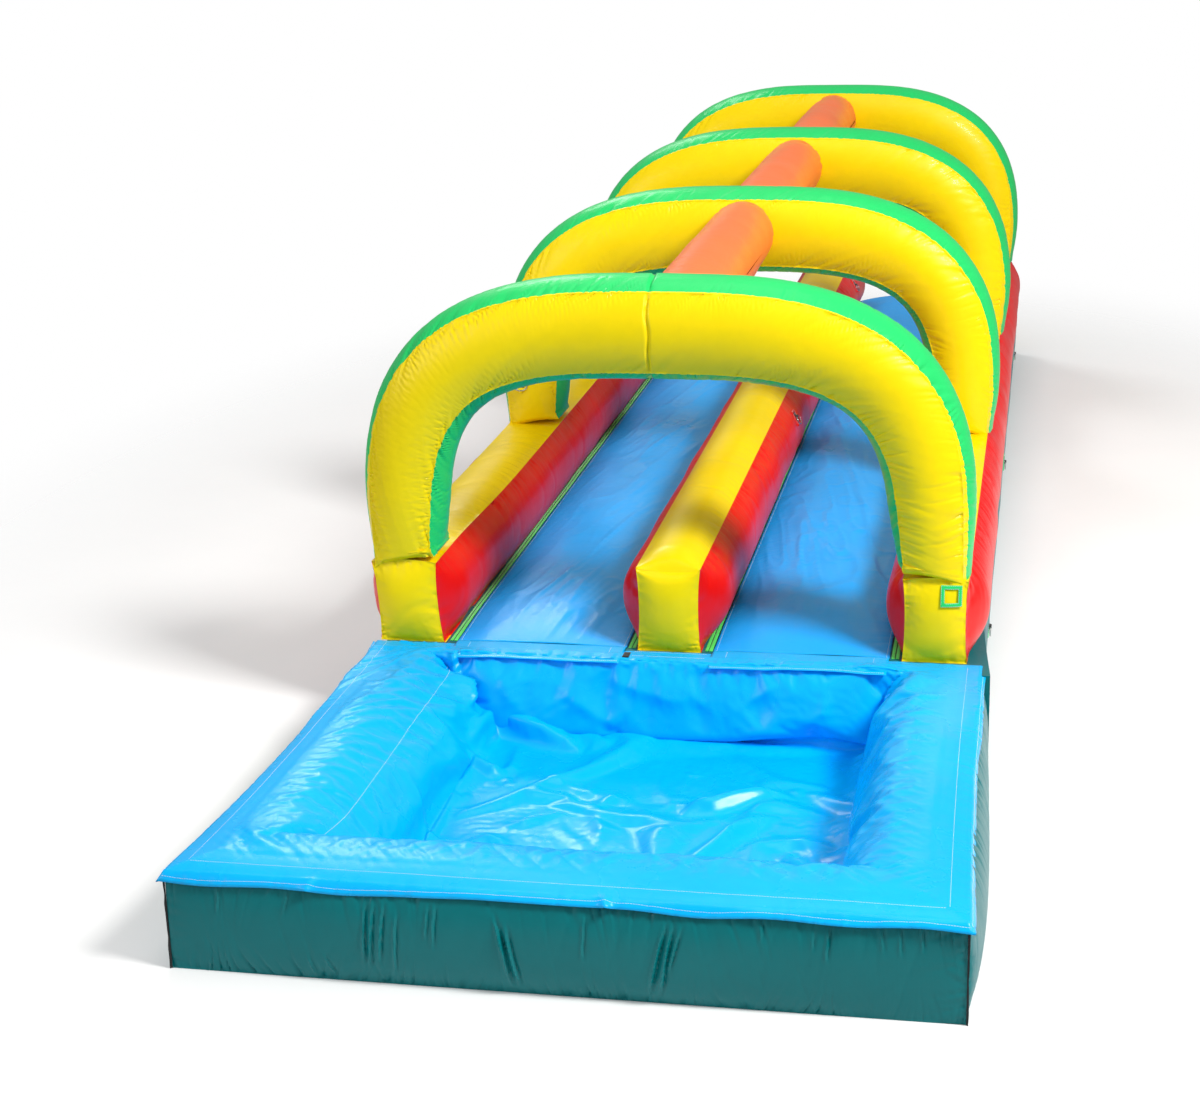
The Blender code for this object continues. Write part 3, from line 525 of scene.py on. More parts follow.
def arch_line(count):
    """Stations along an arch: place, outward direction, seam width and distance run."""
    turn = np.linspace(0, np.pi, 4001)
    x = np.sign(np.cos(turn)) * np.abs(np.cos(turn)) ** arch_roundness
    z = np.maximum(np.sin(turn), 0) ** arch_roundness
    rise = crown_height - spring_height
    arc = np.stack([half_span * x, spring_height + rise * z], 1)
    leg = np.linspace(0, 1, 60)[:-1, None]
    foot = np.array([wall_centre, wall_top])
    right = foot + (arc[0] - foot) * leg
    left = (right * [-1, 1])[::-1]
    path = np.concatenate([right, arc, left])
    run = np.concatenate([[0], np.cumsum(np.linalg.norm(np.diff(path, axis=0), axis=1))])
    even = np.linspace(0, run[-1], count + 1)
    place = np.stack([np.interp(even, run, path[:, 0]), np.interp(even, run, path[:, 1])], 1)
    forward = np.gradient(place, axis=0)
    outward = np.stack([forward[:, 1], -forward[:, 0]], 1)
    outward /= np.linalg.norm(outward, axis=1, keepdims=True)
    up = np.clip((place[:, 1] - spring_height) / rise, 0, 1)
    low = np.clip((place[:, 1] - wall_top) / (spring_height - wall_top), 0, 1)
    above = leg_width + (crown_width - leg_width) * up
    below = wall_width + (leg_width - wall_width) * low
    return place, outward, np.where(up > 0, above, below), even


def arch_grid(front, lean, line, shares, side):
    """Points of one panel: side is front, inner, rear or outer; shares run across it."""
    place, outward, width, _ = line
    up = (place[:, 1] - wall_top)[:, None]
    rooted = 0.5 * ease(up / 0.035) + 0.5 * ease(up / 0.40)
    bow = swell(shares, 2.1)
    arched = foot_arch * bow * (1 - ease(up / 0.12)) if side in ("front", "rear") else 0
    half = width[:, None] / 2
    if side in ("front", "rear"):
        out = half * (1 - 2 * shares)
        out = out if side == "front" else -out
        depth = face_bulge * rooted * bow
        back = -depth if side == "front" else arch_depth + depth
    else:
        out = -half - band_bulge * rooted * bow
        back = arch_depth * shares
        if side == "outer":
            out, back = -out, arch_depth * (1 - shares)
    out, back = np.broadcast_arrays(out, back)
    x = place[:, :1] + outward[:, :1] * out - lean * np.where(place[:, :1] < 0, 1, rooted)
    z = place[:, 1:] + outward[:, 1:] * out + arched
    return np.stack([x, front + back, z], 2)


def arch_bend(line):
    """0 on the straight runs and 1 where the arch bends tightest, at its shoulders."""
    run = line[3]
    return sum(bell(run - run[-1] * share, bend_reach) for share in (0.26, 0.74))


def make_arch(number, front, lean):
    """One arch: its four panels, closed at both feet."""
    line = arch_line(steps(6.2, arch_cells[number]))
    run, height = line[3], line[0][:, 1]
    shares = spaced(steps(0.40, 0.014), 0.8)[None, :]
    inside = stacked(line[0][:, 0], front + arch_depth / 2, height)[:, None]
    bend = arch_bend(line)[:, None]
    seed = 100 + 40 * number

    def slack(along, across):
        """Shallow folds over the whole panel, and the pinch of the seam at the crown."""
        off = run[:, None] - run[-1] / 2 - 0.035 - 0.008 * noise_line(across * 9, seed + 5)
        pinch = 0.013 * bell(off, 0.009)
        pinch = pinch + 0.003 * creases(across / 0.03, seed + 6) * np.exp(-(np.abs(off) / 0.04))
        legs = bell(height - 1.25, 0.28)[:, None]
        fold = creases(along / 0.13 + 0.8 * noise_line(across * 5, seed + 3), seed + 2)
        soft = noise_sheet(along / 0.23, across / 0.30, seed + 4)
        return -pinch * (number == 0) - 0.0045 * fold * legs * (0.3 + bend) + 0.0022 * soft

    def seams(inner, outer):
        ends = [("start", 0.004, 0.05), ("end", 0.004, 0.05)]
        return [("low", inner, 0.085), ("high", outer, 0.085), *ends]

    panels = []
    for side in ("front", "inner", "rear", "outer"):
        grid_shares, slots = shares, 0
        if side in ("inner", "outer"):
            margin = 0.02 if side == "inner" else 0.12 - 0.10 * ease((height - 1.2) / 0.9)
            narrow = np.broadcast_to(margin, height.shape)[:, None]
            hem = np.array([[0, 0.5]])
            rest = spaced(steps(0.34, 0.014), 0.7)[None, :]
            middle = narrow + (1 - 2 * narrow) * rest
            grid_shares = np.concatenate([hem * narrow, middle, 1 - (hem * narrow)[:, ::-1]], 1)
            cells = np.arange(grid_shares.shape[1] - 1)
            slots = ((cells > 1) & (cells < len(cells) - 2)).astype(int)[None, :]
        points = arch_grid(front, lean, line, grid_shares, side)
        gathers = seams(*gather_depths[side])
        panels.append(panel(points, inside, gathers, seed + len(side), slack, slots))
    rings = [np.concatenate([piece["points"][end] for piece in panels]) for end in (0, -1)]
    panels += [end_cap(ring, (0, 0, -1)) for ring in rings]
    piece = chamber(f"arch_{number + 1}_skin", panels, [yellow, green])
    settle(piece, "slide", [f"arch_{number + 1}"], "yellow_vinyl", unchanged, fill=1.0)


for number, (front, lean) in enumerate(zip(arch_fronts, arch_leans)):
    make_arch(number, front, lean)

# %% [markdown]
# ## Ridge tubes
#
# A tube joins each pair of arches at the crown. It is one rolled panel with its closing seam
# along the upper left, and it is sewn into both arches in a ring of gathers. The ends are
# hidden inside the arch skins, as a sewn sleeve's seam allowance is.


# %% Ridge tubes
seam_angle = np.radians(128)


def make_ridge(number):
    """One ridge tube, which ends inside the arches."""
    low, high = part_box(f"ridge_tube_{number}")
    start, end = low.y + 0.004, high.y - 0.004
    y = np.linspace(start, end, steps(end - start, 0.014) + 1)[:, None]
    near_seam = seam_angle + np.linspace(-0.012, 0.012, 7) / ridge_radius
    turn = np.linspace(0, 2 * np.pi, steps(1.33, 0.016) + 1)
    clear = turn[np.abs(turn - near_seam[3]) > 0.016 / ridge_radius]
    turn = np.sort(np.concatenate([clear, near_seam]))[None, :]
    seed = 400 + 30 * number
    off = turn - seam_angle
    ring = ridge_radius * turn
    near_end = np.minimum(y - start, end - y)
    push = -puckers(ring, near_end - 0.02, seed, 0.013, 0.20) * (near_end > 0.02)
    push = push - puckers(y, np.abs(off) * ridge_radius, seed + 9, 0.006, 0.09)
    push = push - 0.008 * bell(off * ridge_radius, 0.005)
    push = push + 0.004 * noise_sheet(y / 0.4, ring / 0.25, seed + 3)
    sag = 0.004 * np.sin(np.pi * (y - start) / (end - start))
    radius = ridge_radius - 0.003 + push - 0.010 * np.exp(-near_end / 0.05)
    points = stacked(radius * np.cos(turn), y, crown_height - sag + radius * np.sin(turn))
    inside = stacked(0, y[:, 0], crown_height)[:, None]
    panels = [facet(points, inside, 0, np.stack(np.broadcast_arrays(y, ring), 2))]
    panels += [end_cap(points[0], (0, -1, 0)), end_cap(points[-1], (0, 1, 0))]
    piece = chamber(f"ridge_tube_{number}_skin", panels, [orange], sharp=60)
    settle(piece, "slide", [f"ridge_tube_{number}"], "orange_vinyl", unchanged, fill=1.0)


for number in (1, 2, 3):
    make_ridge(number)

# %% [markdown]
# ## Side walls and the divider
#
# Each wall is a long box of cloth: red sides, a yellow top and a yellow cap at the front. Air
# bows the sides out, and between the arches the top rises like a saddle. The corners are where
# three seams meet, so the cloth there is pulled in tight and the puckers crowd together. On the
# divider the top and the cap are one strip that rolls over the front edge, and only its two
# corners stand up as sharp ears.


# %% Walls
left_lean, lean_length = 0.055, 0.8


def lean_at(up, inner):
    """How much of the left wall's lean its inner or outer side has at a share of its height."""
    return 0.15 + 0.49 * up if inner else 0.45 + 0.55 * up


def make_wall(name, side, seed):
    """A wall at the left (-1) or right (1), or the divider (0)."""
    half = (wall_width if side else divider_width) / 2
    centre = side * wall_centre
    top = wall_top if side else divider_top
    bulge = wall_bulge if side else divider_bulge
    y = np.linspace(wall_front, bed_rear, steps(9.3, 0.014) + 1)
    run = np.minimum(y - wall_front, bed_rear - y)[:, None]
    up = spaced(steps(0.45, 0.017), 0.5)[None, :]
    across = spaced(steps(0.34, 0.016), 0.5)[None, :]
    saddle = np.zeros_like(y)
    for start in arch_fronts[:-1]:
        saddle = np.maximum(saddle, swell((y - start - arch_depth) / (arch_pitch - arch_depth), 2.6))
    inside = stacked(centre, y, (wall_base + top) / 2)[:, None]
    anchors = [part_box(f"divider_{number}_anchor") for number in (1, 2)] if side == 0 else []
    tied = [(low_end.y + high_end.y) / 2 - wall_front for low_end, high_end in anchors]

    def rolling(along, over):
        """The long soft waves of a full chamber and a few folds, pulled flat at the tie patches."""
        soft = noise_sheet(along / 0.42, over / 0.34, seed + 2)
        fold = creases(along / 0.31 + 0.5 * noise_line(over * 4, seed + 8), seed + 3)
        waves = 0.005 * soft - 0.0035 * fold
        for spot in tied:
            waves = waves - (waves + 0.005) * bell(along - spot, 0.13, 4)
        return waves

    def edge_roll(shares, below):
        """How far the divider's front and rear edges roll over; on the walls they are sharp."""
        roll = (0.0 if side else divider_roll) * swell(shares, 2.0) ** 0.6
        return roll, np.clip(below / np.maximum(roll, 1e-6), 0, 1)

    full = ease(run / cap_easing)
    tuck = corner_tuck * bell(run, corner_reach)
    past_arch = np.maximum(y - wall_front - arch_depth, 0)[:, None]
    spread = left_lean * (side < 0) * bell(past_arch, lean_length)

    def side_panel(way):
        """The left (-1) or right (1) side."""
        pushed = spread * (lean_at(up, False) if way < 0 else -lean_at(up, True))
        filled = full if side >= 0 or way > 0 else ease(run / 0.16)
        bowed = (bulge - 0.8 * spread * (way < 0)) * filled - tuck
        x = centre + way * (half + bowed * swell(up) + pushed)
        points = stacked(x, y[:, None], wall_base + (top - wall_base) * up)
        seams = [("high", 0.009, 0.10), ("low", 0.007, 0.08), ("start", 0.009, 0.09), ("end", 0.009, 0.09)]
        return panel(points, inside, seams, seed + way, rolling, 0)

    def top_panel():
        """The yellow top: a saddle between the arches, or the divider's rolled strip."""
        rise = (wall_crown * saddle[:, None] if side else divider_crown * ease(run / 0.20)) * swell(across)
        rise = rise + foot_arch * abs(side) * swell(across, 2.1) * np.exp(-run / 0.03)
        x = centre + half * (2 * across - 1) - spread * (1 - 0.36 * across)
        roll, share = edge_roll(across, run)
        turn = np.pi / 4 * (1 + share)
        way = np.sign(bed_rear + wall_front - 2 * y)[:, None]
        forward = (roll * (1 - np.cos(turn)) - run) * (run < roll) * way
        points = stacked(x, y[:, None] + forward, top + rise - roll * (1 - np.sin(turn)))
        seams = [("low", 0.007, 0.09), ("high", 0.007, 0.09)]
        seams += [("start", 0.006, 0.07), ("end", 0.006, 0.07)] if side else []
        return panel(points, inside, seams, seed + 5, rolling, 1)

    def base_panel():
        """The flat bottom, which shows only at its two tips."""
        flat = stacked(centre + half * (2 * across - 1), y[::8, None], wall_base)
        tips = np.zeros((len(flat) - 1, 1), int)
        tips[[0, -1]] = 1
        return facet(flat, inside[::8], tips)

    def cap_panel(end, way):
        """The domed cap at the front (-1) or rear (1) end."""
        rows = spaced(steps(0.45, 0.010), 0.5)[:, None]
        columns = spaced(steps(0.34, 0.010), 0.5)[None, :]
        dome = cap_bulge * swell(rows) * swell(columns)
        shift = spread[0 if way < 0 else -1, 0]
        pushed = shift * (lean_at(rows, False) * (1 - columns) + lean_at(rows, True) * columns)
        x = centre + (half - tuck[0, 0] * swell(rows)) * (2 * columns - 1) - pushed
        below = (top - wall_base) * (1 - rows)
        roll, share = edge_roll(columns, below)
        turn = np.pi / 4 * (1 - share)
        height = np.where(below < roll, top - roll * (1 - np.sin(turn)), top - below)
        height = height + foot_arch * abs(side) * swell(columns, 2.1) * rows**6
        points = stacked(x, end + way * (dome - roll * (1 - np.cos(turn))), height)
        seams = [("low", 0.009, 0.065), ("high", 0.009, 0.065), ("start", 0.008, 0.05)]
        seams += [("end", 0.010, 0.06)] if side else []
        behind = np.array([centre, end - way * 0.5, 0.65])
        return panel(points, behind, seams, seed + 9 + way, rolling, 1)

    panels = [side_panel(-1), side_panel(1), top_panel(), base_panel()]
    panels += [cap_panel(wall_front, -1), cap_panel(bed_rear, 1)]
    piece = chamber(f"{name}_skin", panels, [red, yellow])
    settle(piece, "slide", [name], "yellow_vinyl" if side == 0 else "red_vinyl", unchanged, fill=1.0)


make_wall("side_wall_left", -1, 520)
make_wall("side_wall_right", 1, 560)
make_wall("centre_divider", 0, 600)

# %% [markdown]
# ## The lane bed
#
# The bed is the big flat chamber below the walls. Its teal sides show the whole length of the
# slide. They carry the weight of the walls, so besides the puckers at the seams they have
# upright folds that come and go, with the panel joins as pinched lines between them.


# %% Lane bed
def bed_half_at(y, side=1):
    """Half the bed's width: it eases into the pool's at the right and stays narrow at the left."""
    if side < 0:
        return bed_half - 0.060 * (1 - ease((y - bed_front - 0.1) / 1.2))
    return pool_half + (bed_half - pool_half) * ease((y - bed_front) / side_easing)


def lane_top(x, y):
    """Height of the bed's top, which crowns under each lane behind the pool."""
    rise = lane_crown * ease((y - crown_start) / crown_easing)
    return base_height + rise * swell((np.abs(x) - lane_inner) / (lane_outer - lane_inner), 2.0)


def draped_folds(along, up, seed, depth=0.010, spacing=0.16):
    """Upright folds of a full side panel: clustered, strongest below the seam and tapering off."""
    lean = 0.10 * noise_line(along / 0.5, seed + 4) * up
    fold = creases((along + lean) / spacing, seed)
    small = creases((along + 1.6 * lean) / (spacing * 0.38), seed + 1)
    busy = np.clip(0.15 + 1.1 * noise_line(along / 0.75, seed + 2), 0, 1)
    tall = 0.55 + 0.45 * noise_line(along / 0.30, seed + 3)
    reach = bell(up - 0.26, 0.13 + 0.13 * tall)
    return -depth * busy * (fold + 0.5 * small) * reach


def make_bed():
    """The bed: both sides, the crowned top, the bottom and both ends."""
    y = np.linspace(bed_front, bed_rear, steps(9.5, 0.016) + 1)
    up = spaced(steps(0.45, 0.018), 0.5)[None, :]
    full = ease((y - bed_front) / side_easing)[:, None]
    inside = np.array([0, 1.2, 0.22])
    panels = []
    for way, seed in ((-1, 640), (1, 660)):
        x = way * (bed_half_at(y, way)[:, None] + bed_side_bulge * swell(up) * full)
        points = stacked(x, y[:, None], base_height * up)
        seams = [("high", 0.010, 0.13), ("low", 0.008, 0.10), ("start", 0.006, 0.05), ("end", 0.009, 0.10)]

        def folds(along, over, seed=seed):
            soft = 0.004 * noise_sheet(along / 0.5, over / 0.3, seed + 6)
            return soft + draped_folds(along, over, seed + 9)

        panels.append(panel(points, inside, seams, seed, folds))
    across = np.linspace(-1, 1, steps(3.2, 0.022) + 1)[None, :]
    half = np.where(across < 0, bed_half_at(y, -1)[:, None], bed_half_at(y)[:, None])
    x, length = np.broadcast_arrays(half * across, y[:, None])
    top = np.stack([x, length, lane_top(x, length)], 2)
    panels.append(panel(top, inside, [], 0))
    panels.append(facet(stacked(x, length, 0 * x)[::10], inside))
    rows = up.T
    width = np.linspace(-1, 1, steps(3.2, 0.016) + 1)[None, :] * bed_half
    corner = ease((bed_half - np.abs(width)) / 0.35)
    front_half = np.where(width < 0, bed_half_at(bed_front, -1), pool_half)
    for spot, bow, seed in ((bed_rear, rear_bulge, 680), (bed_front, 0.0, 700)):
        reach = spot + bow * swell(rows, 2.0) * corner
        wide = width * ((1 + bed_side_bulge * swell(rows) / bed_half) if bow else front_half / bed_half)
        points = stacked(wide, reach, lane_top(wide, spot) * rows)
        seams = [("start", 0.008, 0.10), ("end", 0.009, 0.12), ("low", 0.008, 0.08), ("high", 0.008, 0.08)]

        def folds(along, over, seed=seed):
            quiet = 1 - bell(over - 0.6, 0.45) - bell(over - 2.6, 0.45)
            return draped_folds(over, along, seed + 9, 0.008) * np.clip(quiet, 0, 1)

        panels.append(panel(points, inside, seams if bow else [], seed, folds if bow else None))
    piece = chamber("lane_bed_skin", panels, [teal])
    settle(piece, "slide", ["lane_bed"], "teal_vinyl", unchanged, fill=1.0)


make_bed()

# %% [markdown]
# ## Pool bumpers and ground mat
#
# Three bumpers close the pool. Only their outer panels show, from the ground up to the liner's
# hem, and there the air has nowhere to push but outwards. The photo shows upright folds in
# loose groups on the front, where the bottom seam is shorter than the panel. Noise would scatter
# them evenly, so they are listed one by one. The two front corners have a thin seam lip, coloured
# black as painted shade for the shadow in the corner seam. The top and the inside are under the
# liner, so they only carry the round shape that it lies on.


# %% Bumpers
def drawn_in(side, y):
    """How far the liner's tension draws in a pool side's top edge, more towards the rear."""
    reach, length = ((0, 1), (0.050, 2.4), (0.085, 1.6))[side]
    return reach * ease((y - pool_front) / length)


def bumper_top(count=10):
    """Inset and height of a bumper's outline, from its outer top seam down to the pool floor."""
    turn = np.linspace(0, np.pi / 2, count)
    flat = bumper_width - bumper_roll
    inset = np.concatenate([np.linspace(0, flat, 6)[:-1], flat + bumper_roll * np.sin(turn), [bumper_width]])
    level = base_height - bumper_roll * (1 - np.cos(turn))
    height = np.concatenate([np.full(5, base_height), level, [0.0]])
    return inset, height


front_folds = (
    (-1.43, 0.42, -1.44, 0.27, 0.5), (-1.12, 0.42, -1.15, 0.30, 0.6), (-0.79, 0.40, -0.80, 0.10, 0.9),
    (-0.755, 0.40, -0.775, 0.09, 1.0), (-0.71, 0.39, -0.735, 0.11, 1.0), (-0.655, 0.36, -0.67, 0.07, 0.8),
    (-0.52, 0.40, -0.53, 0.24, 0.7), (-0.49, 0.40, -0.50, 0.21, 0.8), (-0.245, 0.38, -0.19, 0.20, 0.9),
    (-0.22, 0.33, -0.17, 0.05, 1.3), (-0.19, 0.33, -0.135, 0.05, 1.2), (0.14, 0.41, 0.13, 0.20, 0.7),
    (0.47, 0.38, 0.40, 0.05, 1.3), (0.50, 0.38, 0.445, 0.05, 1.3), (0.535, 0.37, 0.48, 0.16, 0.9),
    (0.86, 0.41, 0.86, 0.33, 0.6), (1.13, 0.40, 1.12, 0.26, 0.9), (1.07, 0.40, 1.065, 0.30, 0.5),
    (1.34, 0.42, 1.345, 0.31, 0.6), (1.41, 0.42, 1.415, 0.30, 0.7), (1.50, 0.42, 1.50, 0.32, 0.7),
    (-0.98, 0.14, -0.93, 0.02, 0.6), (-1.05, 0.13, -1.02, 0.02, 0.6),
)


fold_width, fold_depth = 0.009, 0.0075


def single_folds(across, up, folds):
    """Folds one by one: each runs from one spot of a panel to another, a crest beside a valley."""
    total = np.zeros(np.broadcast(across, up).shape)
    for x_high, z_high, x_low, z_low, size in folds:
        share = (z_high - up) / (z_high - z_low)
        spine = x_high + (x_low - x_high) * share
        ends = np.clip(np.minimum(share, 1 - share) * 3.2 + 0.2, 0, 1)
        off = (across - spine) / (fold_width * (0.6 + 0.4 * size))
        total = total - fold_depth * size * ends * 2.3 * off * bell(off, 1)
    return total


def front_relief(along, over):
    """The pool's front: single folds in loose groups over a broad soft swell."""
    soft = 0.0045 * noise_sheet(along / 0.6, over / 0.3, 930)
    return soft + single_folds(along - pool_half, over, front_folds)


def make_bumper(name, side, seed):
    """side is 0 for the front bumper, and -1 or 1 for the left and right ones."""
    long = 2 * pool_half if side == 0 else bed_front - pool_front - 0.012
    run = np.linspace(0, 1, steps(long, 0.0055 if side == 0 else 0.010) + 1)[:, None]
    up = spaced(steps(0.46, 0.010), 0.5)[None, :]
    seams = [("low", 0.009, 0.10), ("high", 0.009, 0.12), ("start", 0.008, 0.07), ("end", 0.008, 0.07)]
    inset, height = bumper_top()
    crown = 1 - ease((run - 0.68) / 0.18) if side else 1 + 0 * run
    height = np.maximum(height + bumper_crown * crown * swell(inset / bumper_width, 2.0) - 0.004, 0)
    if side == 0:
        bow = front_bulge * np.sqrt(np.maximum(np.sin(np.pi * run), 0)) * swell(up)
        outer = np.broadcast_arrays((2 * run - 1) * (pool_half - 0.0006), pool_front - bow, base_height * up)
        rest = (2 * run - 1) * (pool_half - inset - 0.0006), pool_front + inset + 0 * run, height
        inside = np.array([0, pool_front + 0.25, 0.2])
        relief = front_relief
    else:
        bow = pool_side_bulge * np.maximum(np.sin(np.pi * np.sqrt(run)), 0) * swell(up)
        pull = drawn_in(side, pool_front + long * run)
        shape = up**3 if side > 0 else 1
        outer = side * (pool_half + bow - pull * shape), pool_front + long * run, base_height * up
        outer = np.broadcast_arrays(*outer)
        back = pool_front + inset + (long - inset) * run
        rest = side * (pool_half - inset - pull * np.clip(1 - inset / 0.34, 0, 1)), back, height
        inside = np.array([side * (pool_half - 0.25), -4.9, 0.2])

        def relief(along, over):
            return draped_folds(along, over, seed + 5, 0.008, 0.15)

    outer = np.stack(outer, 2)
    panels = [panel(outer, inside, seams, seed, relief)]
    # The corner lips are the seam's own flange, drawn in black webbing as painted shade for the shadow in
    # the corner seams.
    for end, way in ((0, -1), (-1, 1)) if side == 0 else ():
        edge = outer[end]
        lip = 0.010 + 0.003 * noise_line(edge[:, 2:] / 0.05, seed + way)
        tip = edge + np.array([way * 0.7, -0.7, 0]) * lip
        across = np.array([way * 0.0012, 0.0012, 0])
        panels.append(facet(np.stack([edge - across, tip, edge + across], 1), inside, 1))
    top = stacked(*rest)
    base = np.concatenate([top[:, -1:], outer[:, :1]], 1) * [1, 1, 0]
    panels += [facet(grid, inside) for grid in (top, base)]
    piece = chamber(f"{name}_skin", panels, [teal, webbing])
    settle(piece, "slide", [name], "teal_vinyl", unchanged, fill=1.0)


for word, side, seed in (("front", 0, 940), ("left", -1, 950), ("right", 1, 960)):
    make_bumper(f"pool_{word}_bumper", side, seed)


def make_mat():
    """The ground mat under the pool: two layers of coated cloth with a rolled edge."""
    low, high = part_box("pool_floor")
    x = np.linspace(low.x + 0.002, high.x - 0.002, 41)[:, None]
    y = np.linspace(low.y + 0.002, high.y - 0.002, 41)[None, :]
    edge = np.minimum(np.minimum(x - low.x, high.x - x), np.minimum(y - low.y, high.y - y))
    top = stacked(x, y, high.z - 0.001 - 0.003 * np.exp(-edge / 0.01))
    under = top * [1, 1, 0] + [0, 0, 0.001]
    rim = np.stack([outline(top), outline(under)])
    inside = (top.mean((0, 1)) + under.mean((0, 1))) / 2
    piece = chamber("pool_mat", [facet(grid, inside) for grid in (top, under, rim)], [teal])
    facts = {"flat": (high.x - low.x, high.y - low.y), "held": "laid"}
    settle(piece, "slide", ["pool_floor"], "teal_vinyl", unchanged, **facts)


make_mat()

# %% [markdown]
# ## The pool liner
#
# The liner is one big loose sheet. It is tied down outside the bumpers, lies over them and drops
# into the pool, with more cloth than the pool needs. That spare cloth is what makes the folds, so
# it is simulated: the sheet starts on the smooth shape of the pool, grows by a few per cent, and
# falls until it buckles the way slack vinyl does. The hem and the rear band stay pinned.
#
# The grid is a nest of squares, so its mitres run along the real corners. The long slope at the
# left is part of the start shape.

# %% The liner's smooth shape
liner_cell = 0.027
hem_drop, hem_out, rear_band, liner_level = 0.022, 0.028, 0.145, 0.0135
ramp_reach, floor_half = 0.26, 1.15


def liner_profile():
    """Inset, height and run along the liner from the pool floor's edge out to the hem."""
    inset, height = (values[::-1] for values in bumper_top(14))
    inset = np.concatenate([inset, [-hem_out / 2, -hem_out]])
    height = np.concatenate([height, [base_height, base_height - hem_drop]])
    height[0] = liner_level
    run = np.concatenate([[0], np.cumsum(np.hypot(np.diff(inset), np.diff(height)))])
    return inset, height, run


def liner_cells():
    """How many cells there are from the liner's middle to the floor's edge, and on to the hem."""
    return round(floor_half / liner_cell), round(liner_profile()[2][-1] / liner_cell)


def liner_start(u, v, lift=0.0):
    """Points of the liner for u and v from -1 to 1, the distance from its hem and its zone."""
    insets, heights, runs = liner_profile()
    floor_share = liner_cells()[0] / sum(liner_cells())
    reach = np.maximum(np.maximum(np.abs(u), np.abs(v)), 1e-6)
    share = np.clip((reach - floor_share) / (1 - floor_share), 0, 1)
    run = share * runs[-1]
    inset, height = np.interp(run, runs, insets), np.interp(run, runs, heights)
    half = pool_half - inset
    pool_length = bed_front - pool_front
    flat_top = bumper_width - bumper_roll
    band = np.clip((flat_top - inset) / (flat_top + hem_out), 0, 1)
    back = pool_length - 0.001 + rear_band * band
    along = np.clip(np.where(np.abs(u) > np.abs(v), v, u) / reach, -1, 1)
    station = (along + 1) / 2
    side_y = inset + (back - inset) * station
    low = 1 - np.clip(height / base_height, 0, 1)
    lean = ramp_reach * low * (ease(station / 0.18) * ease((1 - station) / 0.10))
    side_crown = bumper_crown * (1 - ease((station - 0.62) / 0.30)) * swell(inset / bumper_width, 2.0)
    hem_ease = (base_height - height) * (inset < 0.001) * ease((station - 0.85) / 0.13)
    at_side = np.abs(u) > np.abs(v)
    left, right, front, rear = (u < 0) & at_side, (u > 0) & at_side, (v < 0) & ~at_side, (v >= 0) & ~at_side
    x = np.select([left, right, front | rear], [-half + lean, half, half * along])
    y = np.select([left | right, front, rear], [side_y, inset, back])
    crowned = height + bumper_crown * swell(inset / bumper_width, 2.0)
    cove = 0.05 * np.clip(low - 0.35, 0, 1) ** 2 / 0.42
    y = y - np.where(rear, cove, 0)
    flat_rear = np.where(inset < 0.001, base_height, height)
    z = np.select([left | right, front, rear], [height + side_crown + hem_ease, crowned, flat_rear])
    inner_x, inner_y = pool_half - bumper_width, (bumper_width, pool_length - 0.001)
    floor = reach < floor_share
    lean_floor = np.clip(-u / floor_share, 0, 1) ** 2 * ramp_reach
    mouth = ease((v / floor_share + 1) / 0.36) * ease((1 - v / floor_share) / 0.20)
    x = np.where(floor, inner_x * u / floor_share + lean_floor * mouth, x)
    tuck = np.clip(v / floor_share, 0, 1) ** 6 * 0.05
    floor_y = inner_y[0] + (inner_y[1] - inner_y[0]) * (v / floor_share + 1) / 2 - tuck
    y = np.where(floor, floor_y, y) + pool_front
    z = np.where(floor, liner_level, z)
    hem = np.where(floor, 20.0, runs[-1] - run)
    ring = np.where(floor, x + 20, np.select([left | right, front | rear], [y, x]) + 12)
    return np.stack([x, y, z + lift], -1), np.stack([ring, hem], -1), floor


def nest(count):
    """The two shares, from -1 to 1, of every point in a square grid."""
    return np.meshgrid(*[np.linspace(-1, 1, count)] * 2, indexing="ij")


u, v = nest(2 * sum(liner_cells()) + 1)
smooth, hem_uv, on_floor = liner_start(u, v)
print("liner grid:", u.shape, "floor cells:", int(on_floor.sum()))

# %% [markdown]
# A simulation puts its folds where it likes, so the start is nudged where the photo has large
# ones, and the fallen sheet gets those as drawn crests too. They were read off the photo one by
# one, as places in metres on plan, on the rear wall and on the front band.


# %% Where the folds lie
def stroke(points, start, end, width):
    """1 along a line on plan and fading out to its sides and ends, as one fold's crest."""
    start, end = np.array(start), np.array(end)
    line = end - start
    share = np.clip(((points[..., :2] - start) @ line) / (line @ line), 0, 1)
    foot = start + share[..., None] * line
    gap = np.linalg.norm(points[..., :2] - foot, axis=-1)
    return bell(gap, width) * (0.35 + 0.65 * np.sin(np.pi * share))


# folds that the sheet starts its fall with: both ends on plan, width and height
floor_folds = (
    ((-0.93, -3.60), (-0.50, -3.72), 0.05, 0.085),
    ((-0.94, -3.62), (-0.93, -4.02), 0.05, 0.110),
    ((-0.95, -4.06), (-0.75, -4.12), 0.04, 0.045),
    ((0.22, -4.48), (0.72, -4.16), 0.06, 0.050),
    ((0.36, -4.98), (0.62, -4.50), 0.05, 0.050),
    ((-0.58, -4.12), (-0.03, -4.40), 0.09, 0.020),
    ((0.80, -4.90), (1.00, -5.35), 0.05, 0.030),
)


